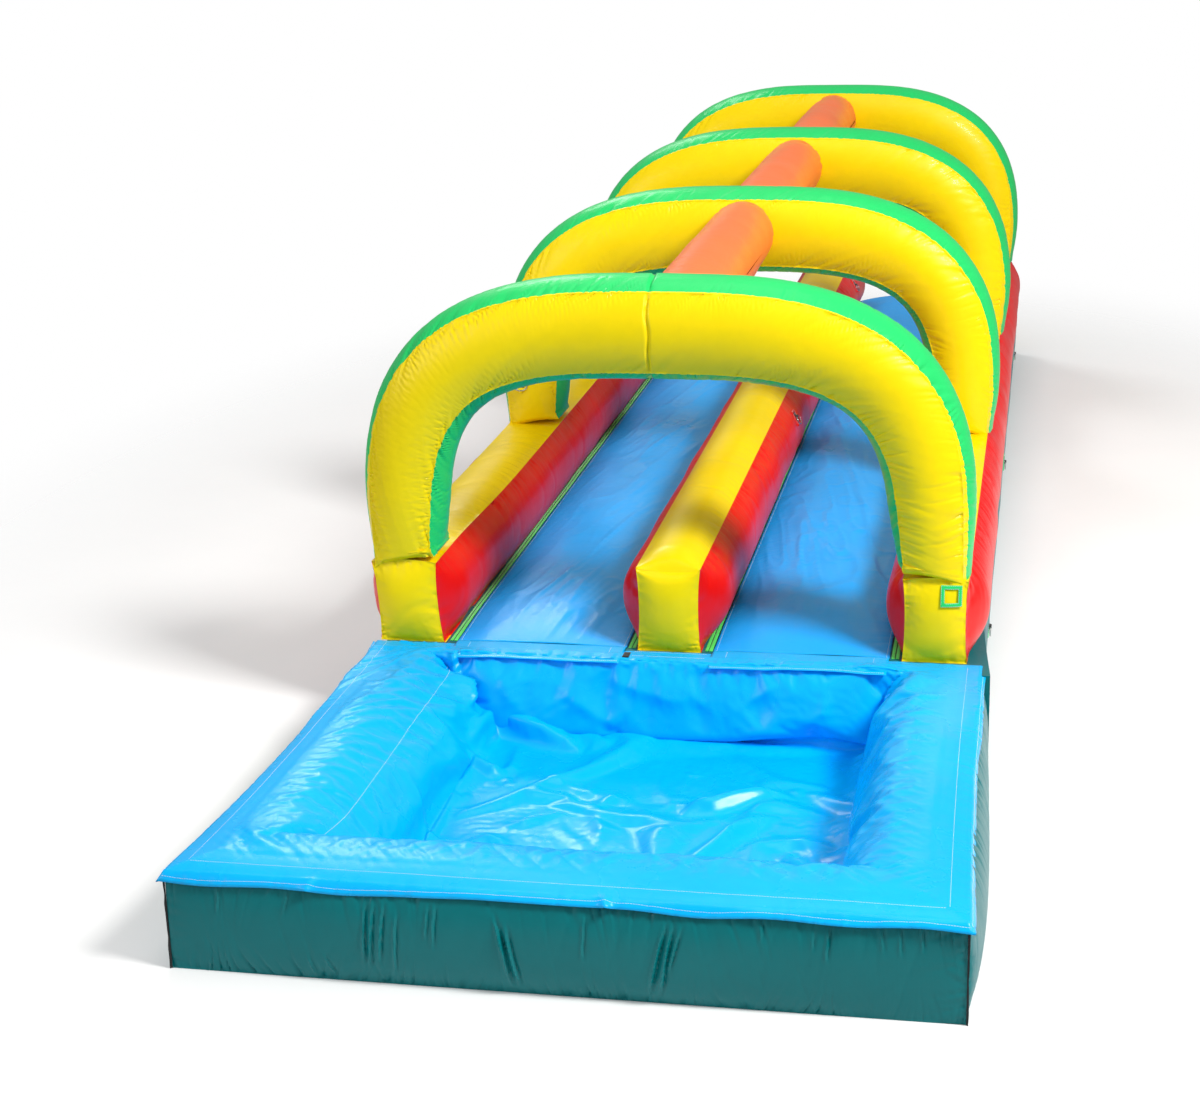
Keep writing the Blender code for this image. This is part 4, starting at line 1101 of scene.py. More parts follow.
# Folds drawn into the fallen sheet: the places along each one's crest with its height there,
# then its width and how much steeper its left side is, seen from start to end.
plan_folds = (
    (((-1.15, -3.47, 0), (-1.08, -3.60, 0.080), (-1.02, -3.76, 0.085), (-0.99, -3.90, 0)), 0.045, 1.9),
    (((-0.96, -3.55, 0.085), (-0.76, -3.60, 0.060), (-0.52, -3.68, 0)), 0.032, 1.6),
    (((-0.96, -3.55, 0.085), (-0.90, -3.72, 0.010)), 0.028, 1.0),
    (((-0.74, -3.72, 0), (-0.72, -4.03, 0.024), (-0.79, -4.12, 0.026), (-0.94, -4.07, 0)), 0.030, 0.8),
    (((-1.10, -3.72, 0), (-1.03, -4.02, 0.022), (-1.04, -4.54, 0.026), (-1.04, -4.92, 0)), 0.060, 1.5),
    (((-0.98, -3.96, 0), (-0.93, -4.18, 0.018), (-0.92, -4.43, 0.020), (-0.82, -4.78, 0)), 0.050, 1.0),
    (((-0.62, -4.08, 0), (-0.31, -4.26, 0.020), (0.02, -4.40, 0)), 0.050, 0.7),
    (((-0.21, -4.48, 0), (-0.11, -4.70, 0.030), (-0.10, -4.95, 0)), 0.050, 0.8),
    (((-0.21, -4.48, 0), (-0.13, -4.33, 0.026), (0.02, -4.40, 0)), 0.040, 0.7),
    (((0.14, -4.35, 0), (0.38, -4.40, 0.036), (0.60, -4.24, 0.032), (0.74, -4.13, 0)), 0.040, 0.6),
    (((0.68, -4.22, 0), (0.57, -4.43, 0.030), (0.50, -4.70, 0.026), (0.43, -4.92, 0)), 0.045, 0.7),
    (((-0.33, -4.50, 0), (-0.50, -4.67, 0.026), (-0.66, -4.75, 0)), 0.045, 1.4),
    (((-0.50, -4.92, 0), (-0.63, -4.86, 0.032), (-0.82, -4.98, 0)), 0.035, 0.8),
    (((-1.06, -4.78, 0), (-0.92, -4.92, 0.022), (-0.70, -4.88, 0)), 0.035, 1.2),
    (((0.12, -3.94, 0), (0.23, -3.98, 0.006), (0.30, -3.96, 0)), 0.014, 1.0),
    (((0.10, -4.62, 0), (0.26, -4.78, 0.018), (0.22, -5.05, 0)), 0.045, 1.3),
    (((0.80, -4.62, 0), (0.92, -4.86, 0.022), (0.90, -5.10, 0)), 0.045, 0.8),
)
# the same on the pool's rear wall, by place across and height
wall_folds = (
    (((-0.62, 0.37, 0), (-0.46, 0.25, 0.024), (-0.30, 0.13, 0.028), (-0.10, 0.05, 0)), 0.045, 0.6),
    (((-0.32, 0.37, 0), (-0.12, 0.31, 0.022), (0.05, 0.27, 0.022), (0.24, 0.28, 0)), 0.045, 0.6),
    (((0.36, 0.07, 0), (0.58, 0.11, 0.022), (0.80, 0.13, 0)), 0.040, 0.7),
    (((0.10, 0.36, 0), (0.20, 0.26, 0.022), (0.33, 0.17, 0)), 0.040, 0.7),
    (((0.60, 0.38, 0), (0.49, 0.30, 0.022), (0.34, 0.20, 0)), 0.040, 1.4),
    (((-0.86, 0.37, 0), (-0.80, 0.24, 0.020), (-0.66, 0.12, 0)), 0.040, 0.7),
    (((0.86, 0.37, 0), (0.84, 0.25, 0.020), (0.70, 0.16, 0)), 0.040, 1.3),
)
# the same on the front band, by place across and distance from the hem
hem_tucks = (
    (((-1.04, 0.0, 0.030), (-1.01, 0.075, 0)), 0.015, 0.6),
    (((0.23, 0.0, 0.034), (0.20, 0.085, 0)), 0.016, 0.6),
    (((1.18, 0.0, 0.010), (1.20, 0.060, 0)), 0.010, 0.8),
)


def crest(places, folds):
    """The height that folds give at places in a plane, each highest along its own line."""
    total = np.zeros(places.shape[:-1])
    for nodes, width, steep in folds:
        lift = np.zeros_like(total)
        for (a, b, first), (c, d, last) in zip(nodes[:-1], nodes[1:]):
            line = np.array([c - a, d - b])
            from_start = places - np.array([a, b])
            share = np.clip((from_start @ line) / (line @ line), 0, 1)
            left = line[0] * from_start[..., 1] - line[1] * from_start[..., 0] > 0
            gap = np.linalg.norm(from_start - share[..., None] * line, axis=-1) * np.where(left, steep, 1)
            lift = np.maximum(lift, (first + (last - first) * ease(share)) * bell(gap, width, 1.5))
        total += lift
    return total


print("folds drawn:", len(plan_folds) + len(wall_folds) + len(hem_tucks))

# %% [markdown]
# The sheet falls as Blender cloth. The sums run before anything is rendered and the result is
# kept as plain points, so that the finished piece has no simulation left in it. The cells are
# large enough for the solver, and then each is split in four along a smooth curve.

# %% Let the liner fall
fall_frames = 32


def finer(grid):
    """Twice as many cells both ways, on a smooth curve through the points that are there."""
    for axis in (0, 1):
        grid = np.moveaxis(grid, axis, 0)
        ends = np.concatenate([2 * grid[:1] - grid[1:2], grid, 2 * grid[-1:] - grid[-2:-1]])
        made = np.empty((2 * len(grid) - 1, *grid.shape[1:]))
        made[::2] = grid
        made[1::2] = (9 * (ends[1:-2] + ends[2:-1]) - ends[:-3] - ends[3:]) / 16
        grid = np.moveaxis(made, 0, axis)
    return grid


def collider(name, points):
    """A plain still surface that the falling sheet lands on."""
    rows, columns = points.shape[:2]
    index = np.arange(rows * columns).reshape(rows, columns)
    quads = np.stack([index[:-1, :-1], index[1:, :-1], index[1:, 1:], index[:-1, 1:]], 2).reshape(-1, 4)
    mesh = bpy.data.meshes.new(name)
    mesh.from_pydata(points.reshape(-1, 3), [], quads)
    return placed(name, mesh)


def group(piece, name, weights):
    """A vertex group with the weights, in steps of a hundredth."""
    made = piece.vertex_groups.new(name=name)
    flat = np.round(np.clip(weights.reshape(-1), 0, 1), 2)
    for level in np.unique(flat):
        if level > 0:
            made.add([int(i) for i in np.nonzero(flat == level)[0]], float(level), "REPLACE")
    return made.name


def fall(points, pins, slack):
    """Runs the sheet as cloth with spare length and gives back where its points come to rest."""
    pan = collider("pool_pan", liner_start(u, v, lift=-0.006)[0][::2, ::2])
    pan.modifiers.new("Collision", "COLLISION")
    pan.collision.thickness_outer = 0.004
    pan.collision.cloth_friction = 12
    sheet = collider("falling_liner", points)
    cloth = sheet.modifiers.new("Cloth", "CLOTH")
    settings = cloth.settings
    settings.quality = 6
    settings.mass = 0.02
    settings.tension_stiffness = settings.compression_stiffness = 30
    settings.shear_stiffness = 12
    settings.bending_stiffness = 2.0
    settings.air_damping = 4
    settings.vertex_group_mass = group(sheet, "pins", pins)
    settings.vertex_group_shrink = group(sheet, "slack", 1 - slack)
    settings.shrink_min, settings.shrink_max = -0.022, 0.0
    cloth.collision_settings.distance_min = 0.005
    cloth.collision_settings.collision_quality = 2
    cloth.point_cache.frame_start, cloth.point_cache.frame_end = 1, fall_frames
    scene = bpy.context.scene
    for number in range(1, fall_frames + 1):
        scene.frame_set(number)
    settled = sheet.evaluated_get(bpy.context.evaluated_depsgraph_get())
    out = np.empty(len(settled.data.vertices) * 3, np.float32)
    settled.data.vertices.foreach_get("co", out)
    scene.frame_set(1)
    for old in (sheet, pan):
        bpy.data.objects.remove(old)
    return out.reshape(points.shape).astype(float)


start = smooth.copy()
for begin, finish, width, height in floor_folds:
    start[..., 2] += height * stroke(start, begin, finish, width) * (start[..., 2] < 0.30)
start[..., 2] += 0.010 * (1 + noise_sheet(start[..., 0] / 0.22, start[..., 1] / 0.3, 71)) * on_floor
from_hem = np.where(on_floor, 1.0, hem_uv[..., 1])
pinned = (from_hem < 0.20).astype(float)
fallen = fall(start, pinned, ease((from_hem - 0.25) / 0.35))
moved = np.linalg.norm(fallen - start, axis=2)
print("the liner moved by up to", round(float(moved.max()), 3), "m")
fallen = finer(fallen)
u, v = nest(len(fallen))
smooth, hem_uv, on_floor = liner_start(u, v)
from_hem = np.where(on_floor, 1.0, hem_uv[..., 1])

# %% [markdown]
# The sheet may not dip through what carries it, so its points are kept on the right side of the
# smooth shape. Then come the marks that sewing and tying leave: the gathers at the hem, the
# ripples where the sheet is dragged towards its rear left tie, the small tucks at the pool's
# edge and the slanting ones on the front band. The drawn folds come last.


# %% Finish the liner
liner_tie, under_pool = (-1.24, -3.48), np.array([0, -4.9, -6.0])
front_band = pool_front + 0.4


def make_liner(points):
    """The finished liner from the fallen sheet's points, which are given back as they end up."""
    outward = normals(smooth, np.array([0, -4.9, -3.0]))
    outward = np.where(outward[..., 2:] < -0.2, -outward, outward)
    depth = ((points - smooth) * outward).sum(2)
    points = points + outward * np.maximum(0.0005 - depth, 0)[..., None]
    x, y = smooth[..., 0], smooth[..., 1]
    ring, hem = hem_uv[..., 0], from_hem
    ruffle = creases(ring / 0.055, 1301) * np.exp(-hem / 0.05)
    ruffle = ruffle + 0.4 * creases(ring / 0.16, 1302) * np.exp(-hem / 0.12)
    lift = -0.006 * ruffle + 0.008 * noise_line(ring / 0.35, 1303) * np.exp(-hem / 0.03)
    from_tie = x - liner_tie[0], y - liner_tie[1]
    tie, angle = np.hypot(*from_tie), np.arctan2(from_tie[1], from_tie[0])
    drag = creases(angle / 0.11, 1304) * bell(tie - 0.15, 0.8) * (x < -1.15)
    lift = lift + 0.012 * drag * (hem > 0.05) * (1 - np.exp(-tie / 0.10))
    edge = bell(hem - 0.50, 0.14)
    amount = np.select([x > 1.3, y < front_band, x < -1.3], [1, 0.8, 0.15], 0.5)
    tucks = creases((ring + 0.35 * hem) / 0.085, 1305) * edge * amount
    soft = noise_sheet(ring / 0.30, hem / 0.20, 1306) * bell(hem - 0.3, 0.25)
    lift = lift - 0.009 * tucks + 0.005 * (1 + soft) * (hem > 0.03)
    bias = creases((ring + 0.9 * hem) / 0.060, 1308) * bell(hem - 0.33, 0.12)
    lift = lift - 0.008 * bias * (y < front_band)
    drawn = crest(points[..., :2], plan_folds) * (hem > 0.40)
    rear = (points[..., 1] > bed_front - 0.16) & (np.abs(x) < 1.1) & (hem > 0.16) & ~on_floor
    drawn = np.where(rear, crest(points[..., [0, 2]], wall_folds), drawn)
    front = (y < pool_front + 0.2) & (hem < 0.3)
    drawn = drawn + crest(np.stack([x, hem], -1), hem_tucks) * front
    lift = np.where(on_floor, 0, lift) + drawn
    points = points + outward * lift[..., None]
    for side in (-1, 1):
        share = np.clip((side * points[..., 0] - 1.335) / 0.34, 0, 1)
        points[..., 0] -= side * share * drawn_in(side, points[..., 1])
    drape = (hem < 0.035) * ~on_floor
    points[..., 2] -= drape * (0.006 + 0.014 * noise_line(ring / 0.30, 1307) * (y < -3.6))
    points[..., 2] = np.maximum(points[..., 2], np.where(on_floor, liner_level, -1))
    sheet = facet(points, under_pool, 0, hem_uv)
    piece = chamber("pool_liner_sheet", [sheet], [pool_blue], sharp=180, weld=0)
    thicken(piece)
    over = ["pool_front_bumper_skin", "pool_left_bumper_skin", "pool_right_bumper_skin", "pool_mat"]
    facts = {"flat": (4.20, 4.10), "area": 13.9, "held": "draped", "rests_on": over}
    settle(piece, "slide", ["pool_liner"], "blue_vinyl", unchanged, **facts)
    return points


liner_points = make_liner(fallen)

# %% [markdown]
# ## Threads
#
# Seam thread is what tells the eye how big the slide is. Each stitch here is a short rod that
# dips at both ends, laid along a row of points on the cloth. Real stitches are about 5 mm long;
# these are 11 mm apart, so that a row still reads as sewing from across a lawn. Spun polyester
# thread is matt and slightly lighter than the cloth it closes.


# %% Stitches along a row of points
thread = ribbed("white polyester thread", "DDE9EE", 0.003, 0.0004, 0.3)
stitch_pitch, stitch_length, stitch_radius = 0.011, 0.0075, 0.0009
stitch_rise, stitch_dip = 0.0006, 0.0011


def stitch_grid(points, upward, slots=0):
    """A list of grids, one small rod for each stitch along the row."""
    run = np.concatenate([[0], np.cumsum(np.linalg.norm(np.diff(points, axis=0), axis=1))])
    count = int((run[-1] - stitch_pitch) / stitch_pitch)
    grids, upward = [], np.broadcast_to(upward, points.shape)
    share, turn = np.linspace(-0.5, 0.5, 4), np.linspace(0, 2 * np.pi, 6)
    for number in range(count):
        spots = (number + 1) * stitch_pitch + share * stitch_length
        middle = np.stack([np.interp(spots, run, points[:, axis]) for axis in range(3)], 1)
        up = np.stack([np.interp(spots, run, upward[:, axis]) for axis in range(3)], 1).mean(0)
        up /= max(np.linalg.norm(up), 1e-9)
        along = middle[-1] - middle[0]
        across = np.cross(along, up)
        across /= max(np.linalg.norm(across), 1e-9)
        middle = middle + up * (stitch_rise - stitch_dip * (2 * share) ** 4)[:, None]
        ring = np.cos(turn)[:, None] * across + np.sin(turn)[:, None] * up
        grids.append(facet(middle[:, None] + stitch_radius * ring[None], middle[:, None], slots))
    return grids


def sew(name, rows, body):
    """One piece from all the thread rows of a body; each row is its points and its up vectors."""
    grids = [grid for points, upward in rows for grid in stitch_grid(points, upward)]
    piece = chamber(name, grids, [thread], sharp=80, weld=0)
    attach(piece, body)
    print(f"{name}: {len(grids)} stitches")


def hem_row(reach, turn):
    """Places at one distance from the hem, on the side that turn brings to the grid's start."""
    points, upward, hem = turn(liner_points), turn(normals(liner_points, under_pool)), turn(from_hem)
    last = len(points) - 1
    line, ups = [], []
    for index in range(last + 1):
        depth = hem[index, : last // 3]
        step = int(np.argmax(depth >= reach))
        if step == 0 or step > min(index, last - index):
            continue
        share = (reach - depth[step - 1]) / (depth[step] - depth[step - 1])
        low, high = points[index, step - 1], points[index, step]
        line.append(low + (high - low) * share)
        ups.append(upward[index, step])
    return np.array(line), np.array(ups)


def at_front(grid):
    """The front edge is the grid's own start; the two below turn a side edge to that place."""
    return grid


def at_left(grid):
    return grid.swapaxes(0, 1)


def at_right(grid):
    return grid[::-1].swapaxes(0, 1)


liner_rows = [hem_row(reach, turn) for reach in (0.026, 0.118) for turn in (at_front, at_left, at_right)]
liner_rows.append(hem_row(0.56, at_left))


def on_liner(x, y):
    """The liner's points nearest to places on plan, for small things sewn to it."""
    cloud = liner_points[liner_points[..., 2] > 0.40]
    picks = [int(np.argmin((cloud[:, 0] - a) ** 2 + (cloud[:, 1] - b) ** 2)) for a, b in zip(x, y)]
    return np.stack([x, y, cloud[picks, 2]], 1)


for row_y in (-3.392, -3.472):
    spots = on_liner(np.linspace(-0.185, 0.215, 30), np.full(30, row_y))
    spots[:, 2] = spots[:, 2].mean() + 0.002
    liner_rows.append((spots, [0, 0, 1.0]))
sew("liner_thread", liner_rows, "slide")


def make_hook_patch():
    """The small black square of hook tape beside the left flap, which holds the flap down."""
    (west, east), (south, north) = (-0.226, -0.190), (-3.504, -3.430)
    x, y = np.meshgrid(np.linspace(west, east, 7), np.linspace(south, north, 15), indexing="ij")
    level = on_liner([-0.21], [-3.46])[0, 2]
    edge = np.minimum(np.minimum(x - west, east - x), np.minimum(y - south, north - y))
    z = level + 0.004 - 0.003 * np.exp(-edge / 0.002) + 0.0005 * noise_sheet(x / 0.004, y / 0.004, 1410)
    sheet = facet(np.stack([x, y, z], 2), np.array([0, -3.5, 0]))
    piece = chamber("liner_hook_patch", [sheet], [webbing], sharp=60, weld=0)
    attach(piece, "slide")
    thicken(piece, 0.0015)


make_hook_patch()

# %% [markdown]
# ## Lane covers
#
# Each lane has a slick blue sheet, held along both edges by hook tape. It lies over the crowned
# bed, so it is longer in the middle than at the edges, and the spare cloth lies in low diagonal
# folds that riders have dragged towards the pool.


# %% Lane covers and hook tape
lane_length = 9.31
# a strip's cross-section: shares of its width, and millimetres of height
strip_shares = (0, 0.02, 0.1, 0.25, 0.38, 0.44, 0.46, 0.50, 0.54, 0.56, 0.62, 0.75, 0.9, 0.98, 1)
strip_heights = (0, 2.6, 3.4, 3.7, 3.4, 2.9, 1.1, 0.9, 1.1, 2.9, 3.4, 3.7, 3.4, 2.6, 0)


def lane_lift(x, y, seed):
    """How far a cover stands off the bed: diagonal folds, longer ones in the middle."""
    share = (np.abs(x) - cover_inner) / (cover_outer - cover_inner)
    free = np.clip(np.sin(np.pi * np.clip(share, 0, 1)), 0, 1) ** 0.7
    lean = 0.55 * np.sign(x)
    ridges = np.zeros(np.broadcast(x, y).shape)
    for number, (size, height) in enumerate(((0.15, 0.016), (0.09, 0.011), (0.05, 0.006))):
        turned = noise_sheet((x + lean * 0.3 * y) / size, (y - lean * x) / (size * 5.5), seed + number)
        ridges += height * np.clip(1 - 2.9 * np.abs(turned), 0, 1) ** 1.4
    busy = np.clip(0.50 + 0.5 * noise_line(y / 0.9, seed + 9), 0.25, 0.85)
    busy = busy * ease((y - crown_start) / 1.5) * ease((bed_rear - y) / 0.4)
    small = creases((y - 0.5 * x) / 0.07, seed + 4) * np.exp(-np.minimum(share, 1 - share) / 0.10)
    small = small * ease((y - crown_start) / 0.10)
    loose = 0.004 * free * (1 + noise_sheet(x / 0.3, y / 0.5, seed + 6))
    return free * ridges * busy + loose + 0.0035 * (1 - small)


def cloth_sheet(name, points, inside, finish, thickness=vinyl_thickness):
    """An open grid made into cloth of a true thickness."""
    grid = facet(points, inside, 0, metres(points)[..., ::-1])
    piece = chamber(name, [grid], [finish], sharp=180, weld=0)
    thicken(piece, thickness)
    return piece


def lane_run(cell):
    """Stations from one end of a lane's sheets to the other."""
    return np.linspace(crown_start + 0.002, bed_rear - 0.021, steps(9.3, cell) + 1)


def make_lane(side, word):
    """One lane's cover with both of its strips; gives back the cover's rows of thread."""
    y = lane_run(0.013)[None, :]
    x = side * (cover_inner + (cover_outer - cover_inner) * spaced(steps(0.93, 0.012), 0.3))[:, None]
    points = stacked(x, y, lane_top(x, y) + 0.0016 + lane_lift(x, y, 1500 + side))
    inside = np.array([0, 1.3, -4])
    piece = cloth_sheet(f"lane_cover_{word}_sheet", points, inside, lane_blue)
    size = (cover_outer - cover_inner + 0.02, lane_length)
    facts = {"flat": size, "held": "laid", "rests_on": ["lane_bed_skin"]}
    settle(piece, "slide", [f"lane_cover_{word}"], "blue_vinyl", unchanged, **facts)
    make_strip(side, word, "inner", lane_inner + strip_inset)
    make_strip(side, word, "outer", lane_outer - strip_inset - strip_width)
    up = normals(points, inside)
    return [(points[edge, ::2], up[edge, ::2]) for edge in (2, -3)]


def make_strip(side, word, place, start):
    """Two rows of hook tape with a gap between them, following the crown of the bed."""
    share, height = np.array(strip_shares), np.array(strip_heights) / 1000
    y = lane_run(0.010)[:, None]
    seed = 1550 + len(place) + side
    sway = 0.0025 * noise_line(y / 0.35, seed)
    x = side * (start + strip_width * share[None, :] + sway)
    pile = 1 + 0.16 * noise_sheet(y / 0.02, share[None, :] * 9, seed + 1)
    z = lane_top(x, y) + 0.0006 + height * pile * 0.95
    points = stacked(x, y, z)
    inside = np.array([side * 0.65, 1.3, -4])
    under = points[:, ::14].copy()
    under[..., 2] = lane_top(under[..., 0], under[..., 1]) + 0.0006
    rows_and_gap = np.array([0] * 5 + [1] * 4 + [0] * 5)[None, :]
    grids = [facet(points, inside, rows_and_gap, metres(points)), facet(under, inside + [0, 0, 9])]
    name = f"hook_strip_{word}_{place}"
    piece = chamber(f"{name}_tape", grids, [tape, tape_gap], sharp=50, weld=0)
    facts = {"flat": (strip_width, lane_length), "held": "laid", "rests_on": ["lane_bed_skin"]}
    settle(piece, "slide", [name], "lime_strip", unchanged, **facts)


both_sides, lane_rows = ((-1, "left"), (1, "right")), []
for side, word in both_sides:
    lane_rows += make_lane(side, word)

# %% [markdown]
# ## Front flaps
#
# A flap bridges the step from each lane to the liner, so that water runs into the pool and not
# under it. It is sewn to the lane's front edge and free at the other, and it lifts like a hinge.
# The free edge has a hem, and weather has given it a slow curl.


# %% Front flaps
flap_level, flap_lowest, flap_length, flap_thickness = 0.4575, 0.4535, 0.235, 0.0016


def make_flap(side, word):
    """A flap with its hem and the thread rows that ride on it."""
    low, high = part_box(f"front_flap_{word}")
    across = np.linspace(0, 1, steps(high.x - low.x, 0.011) + 1)[:, None]
    share = np.linspace(0, 1, steps(flap_length, 0.010) + 1)[None, :]
    seed = 1600 + side
    wave = noise_line(across * 7.0, seed)
    x = low.x + 0.002 + (high.x - low.x - 0.004) * across
    y = high.y - 0.0005 - (high.y - low.y - 0.002 - 0.006 * (1 + wave)) * share
    curl = share**3 * (0.010 * noise_line(across * 4.3, seed + 2) - 0.004)
    ripple = 0.0030 * (1 + noise_sheet(across * 9, share * 2.3, seed + 3)) * np.sin(np.pi * share) ** 0.5
    seam = -0.0012 * bell(share - 0.90, 0.025)
    z = flap_level + curl + ripple + seam - 0.011 * np.clip((share - 0.76) / 0.24, 0, 1) * (1 - share * 0.3)
    points = stacked(x, y, np.maximum(z, flap_lowest - 0.010 * (share > 0.8)))
    inside = np.array([side * 0.65, -3.4, -3])
    piece = cloth_sheet(f"front_flap_{word}_sheet", points, inside, pool_blue, flap_thickness)
    facts = {"flat": (high.x - low.x, flap_length), "held": "laid", "rests_on": ["pool_liner_sheet"]}
    settle(piece, f"front_flap_{word}", [f"front_flap_{word}"], "blue_vinyl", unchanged, **facts)
    up, hem = normals(points, inside), int(points.shape[1] * 0.88)
    rows = [(points[:, hem], up[:, hem])]
    for column in (int(len(points) * 0.085), int(len(points) * 0.915)):
        rows.append((points[column, 2:hem], up[column, 2:hem]))
    sew(f"front_flap_{word}_thread", rows, f"front_flap_{word}")


for side, word in both_sides:
    make_flap(side, word)
sew("lane_cover_thread", lane_rows, "slide")

# %% [markdown]
# ## Tether rings and their anchors
#
# Ropes tie the slide down through plated D rings. A ring's straight bar runs through a loop of
# webbing, which is sewn to a square patch. The loop lies close on the bar and then flat on the
# patch above and below, held by a stitched box with a cross in it.


# %% Rings and anchors
ring_half, ring_drop, rod = 0.045, 0.055, 0.004
patch_half, sleeve = 0.055, 0.008
divider_slope = math.radians(28.24)
stitched_box = np.array([(-1, -1), (1, -1), (1, 1), (-1, 1), (-1, -1)]) * (patch_half - 0.007)
stitched_cross = [(-0.020, 0.014), (0.020, 0.033), (0.020, 0.014), (-0.020, 0.033), (-0.020, 0.014)]


def tether_frame(joint):
    """The bar's middle, and the across, outward and up directions of a ring at rest."""
    place = np.array(joint["pos_m"], float)
    name = joint["name"]
    outward, up = np.array([math.copysign(1, place[0]), 0, 0]), np.array([0, 0, 1.0])
    if name.startswith("arch"):
        outward = np.array([0, -1.0, 0])
    elif name.startswith("divider"):
        cos, sin = math.cos(divider_slope), math.sin(divider_slope)
        outward, up = np.array([cos, 0, sin]), np.array([-sin, 0, cos])
    return place, np.cross(outward, up), outward, up


def make_ring(joint):
    """A D of steel rod: a half round with eased corners and a straight bar."""
    place, across, outward, up = tether_frame(joint)
    name = joint["name"].replace("_swing", "")
    turn = np.linspace(0, np.pi, 40)
    arc = np.stack([ring_half * np.cos(turn), -ring_drop * np.sqrt(np.maximum(np.sin(turn), 0))], 1)
    bar = np.stack([np.linspace(-ring_half, ring_half, 14)[1:-1], np.zeros(12)], 1)
    loop = np.concatenate([arc, bar])
    for _ in range(4):
        eased = (np.roll(loop, 1, 0) + 2 * loop + np.roll(loop, -1, 0)) / 4
        bent = np.linalg.norm(eased - loop, axis=1, keepdims=True) > 0.0004
        loop = np.where(bent, eased, loop)
    loop = np.concatenate([loop, loop[:1]])
    path = place + loop[:, :1] * across + loop[:, 1:] * up
    forward = np.gradient(path, axis=0)
    forward[0] = forward[-1] = path[1] - path[-2]
    forward /= np.linalg.norm(forward, axis=1, keepdims=True)
    square = np.cross(forward, outward)
    angle = np.linspace(0, 2 * np.pi, 19)[None, :, None]
    points = path[:, None] + rod * 0.97 * (np.cos(angle) * outward + np.sin(angle) * square[:, None])
    piece = chamber(f"{name}_rod", [facet(points, path[:, None], 0, metres(points))], [steel], sharp=60)
    settle(piece, name, [name], "ring_steel")


def patch_rise(a, b, turn):
    """How far the turned patch's corners stand out, to lie on the round leg of the arch."""
    return 0.009 * ease((np.hypot(a, b) - 0.042) / 0.024) * (turn > 0)


def legs(corners, count):
    """The straight rows between the corners of a sewn figure."""
    share = np.linspace(0, 1, count)[:, None]
    return [start + (end - start) * share for start, end in zip(corners, corners[1:])]


def make_anchor(joint, cloth, slot, turn):
    """A patch, the webbing loop that holds a ring's bar, and the thread through both."""
    place, across, outward, up = tether_frame(joint)
    name = joint["name"].replace("_ring_swing", "")

    def at(x, depth, z):
        return place + x[..., None] * across + depth[..., None] * outward + z[..., None] * up

    def turned(a, b):
        return a * math.cos(turn) - b * math.sin(turn), a * math.sin(turn) + b * math.cos(turn)

    share = np.concatenate([[-1, -0.995, -0.97], np.linspace(-0.93, 0.93, 17), [0.97, 0.995, 1]])
    a, b = np.meshgrid(share * patch_half, share * patch_half, indexing="ij")
    edge = patch_half - np.maximum(np.abs(a), np.abs(b))
    depth = -sleeve - 0.0112 * np.exp(-edge / 0.0012) - 0.0006 - 0.0008 * bell(edge - 0.008, 0.002)
    x, z = turned(a, b)
    inside = place - outward * 0.2
    patch = at(x, depth + patch_rise(a, b, turn), z)
    wrap = np.linspace(-np.pi / 2, np.pi / 2, 15)
    tab = np.array([0.036, 0.030, 0.022, 0.014, 0.0095])
    flat = np.full(5, -sleeve + 0.0012)
    z_line = np.concatenate([tab, 0.0068 * np.sin(wrap[::-1]), -tab[::-1]])
    rise = np.concatenate([flat, 0.0072 * np.cos(wrap) - 0.0005, flat])
    rise[[4, -5]] = -0.0055
    strap_x = np.linspace(-0.0245, 0.0245, 9)[:, None]
    strap = at(*np.broadcast_arrays(strap_x, rise + 0.0003 * np.cos(strap_x * 400), z_line))
    rim = outline(strap)
    grids = [facet(patch, inside, 0, np.stack([a, b], 2)), facet(strap, inside, 1, metres(strap))]
    grids.append(facet(np.stack([rim, rim - outward * 0.0016]), place, 1))
    for flip in (1, -1):
        for run in legs(np.array(stitched_cross) * [1, flip], 12):
            grids += stitch_grid(at(run[:, 0], np.full(12, -sleeve + 0.0014), run[:, 1]), outward, 2)
    for run in legs(stitched_box, 30):
        x, z = turned(run[:, 0], run[:, 1])
        depth = patch_rise(run[:, 0], run[:, 1], turn) - sleeve - 0.0008
        grids += stitch_grid(at(x, depth, z), outward, 2)
    piece = chamber(f"{name}_patch", grids, [cloth, webbing, thread], sharp=45, weld=0)
    settle(piece, "slide", [f"{name}_anchor"], slot)


anchor_looks = {
    "base": (green, "green_vinyl", 0.0),
    "arch": (yellow, "yellow_vinyl", math.radians(45)),
    "divider": (red, "red_vinyl", 0.0),
}
for joint in frame["joints"]:
    if joint["name"].endswith("_ring_swing"):
        make_ring(joint)
        make_anchor(joint, *anchor_looks[joint["name"].split("_")[0]])

# %% [markdown]
# ## Frame patch
#
# The green square on the right cap is an open frame of cloth, sewn round both of its edges. It
# follows the dome of the cap.


# %% Frame patch
def cap_surface(x, z):
    """How far forward the right wall's front cap stands, with the frame's own lift."""
    across = (x - wall_centre + wall_width / 2) / wall_width
    up = (z - wall_base) / (wall_top - wall_base)
    return wall_front - cap_bulge * swell(up) * swell(across) - 0.012


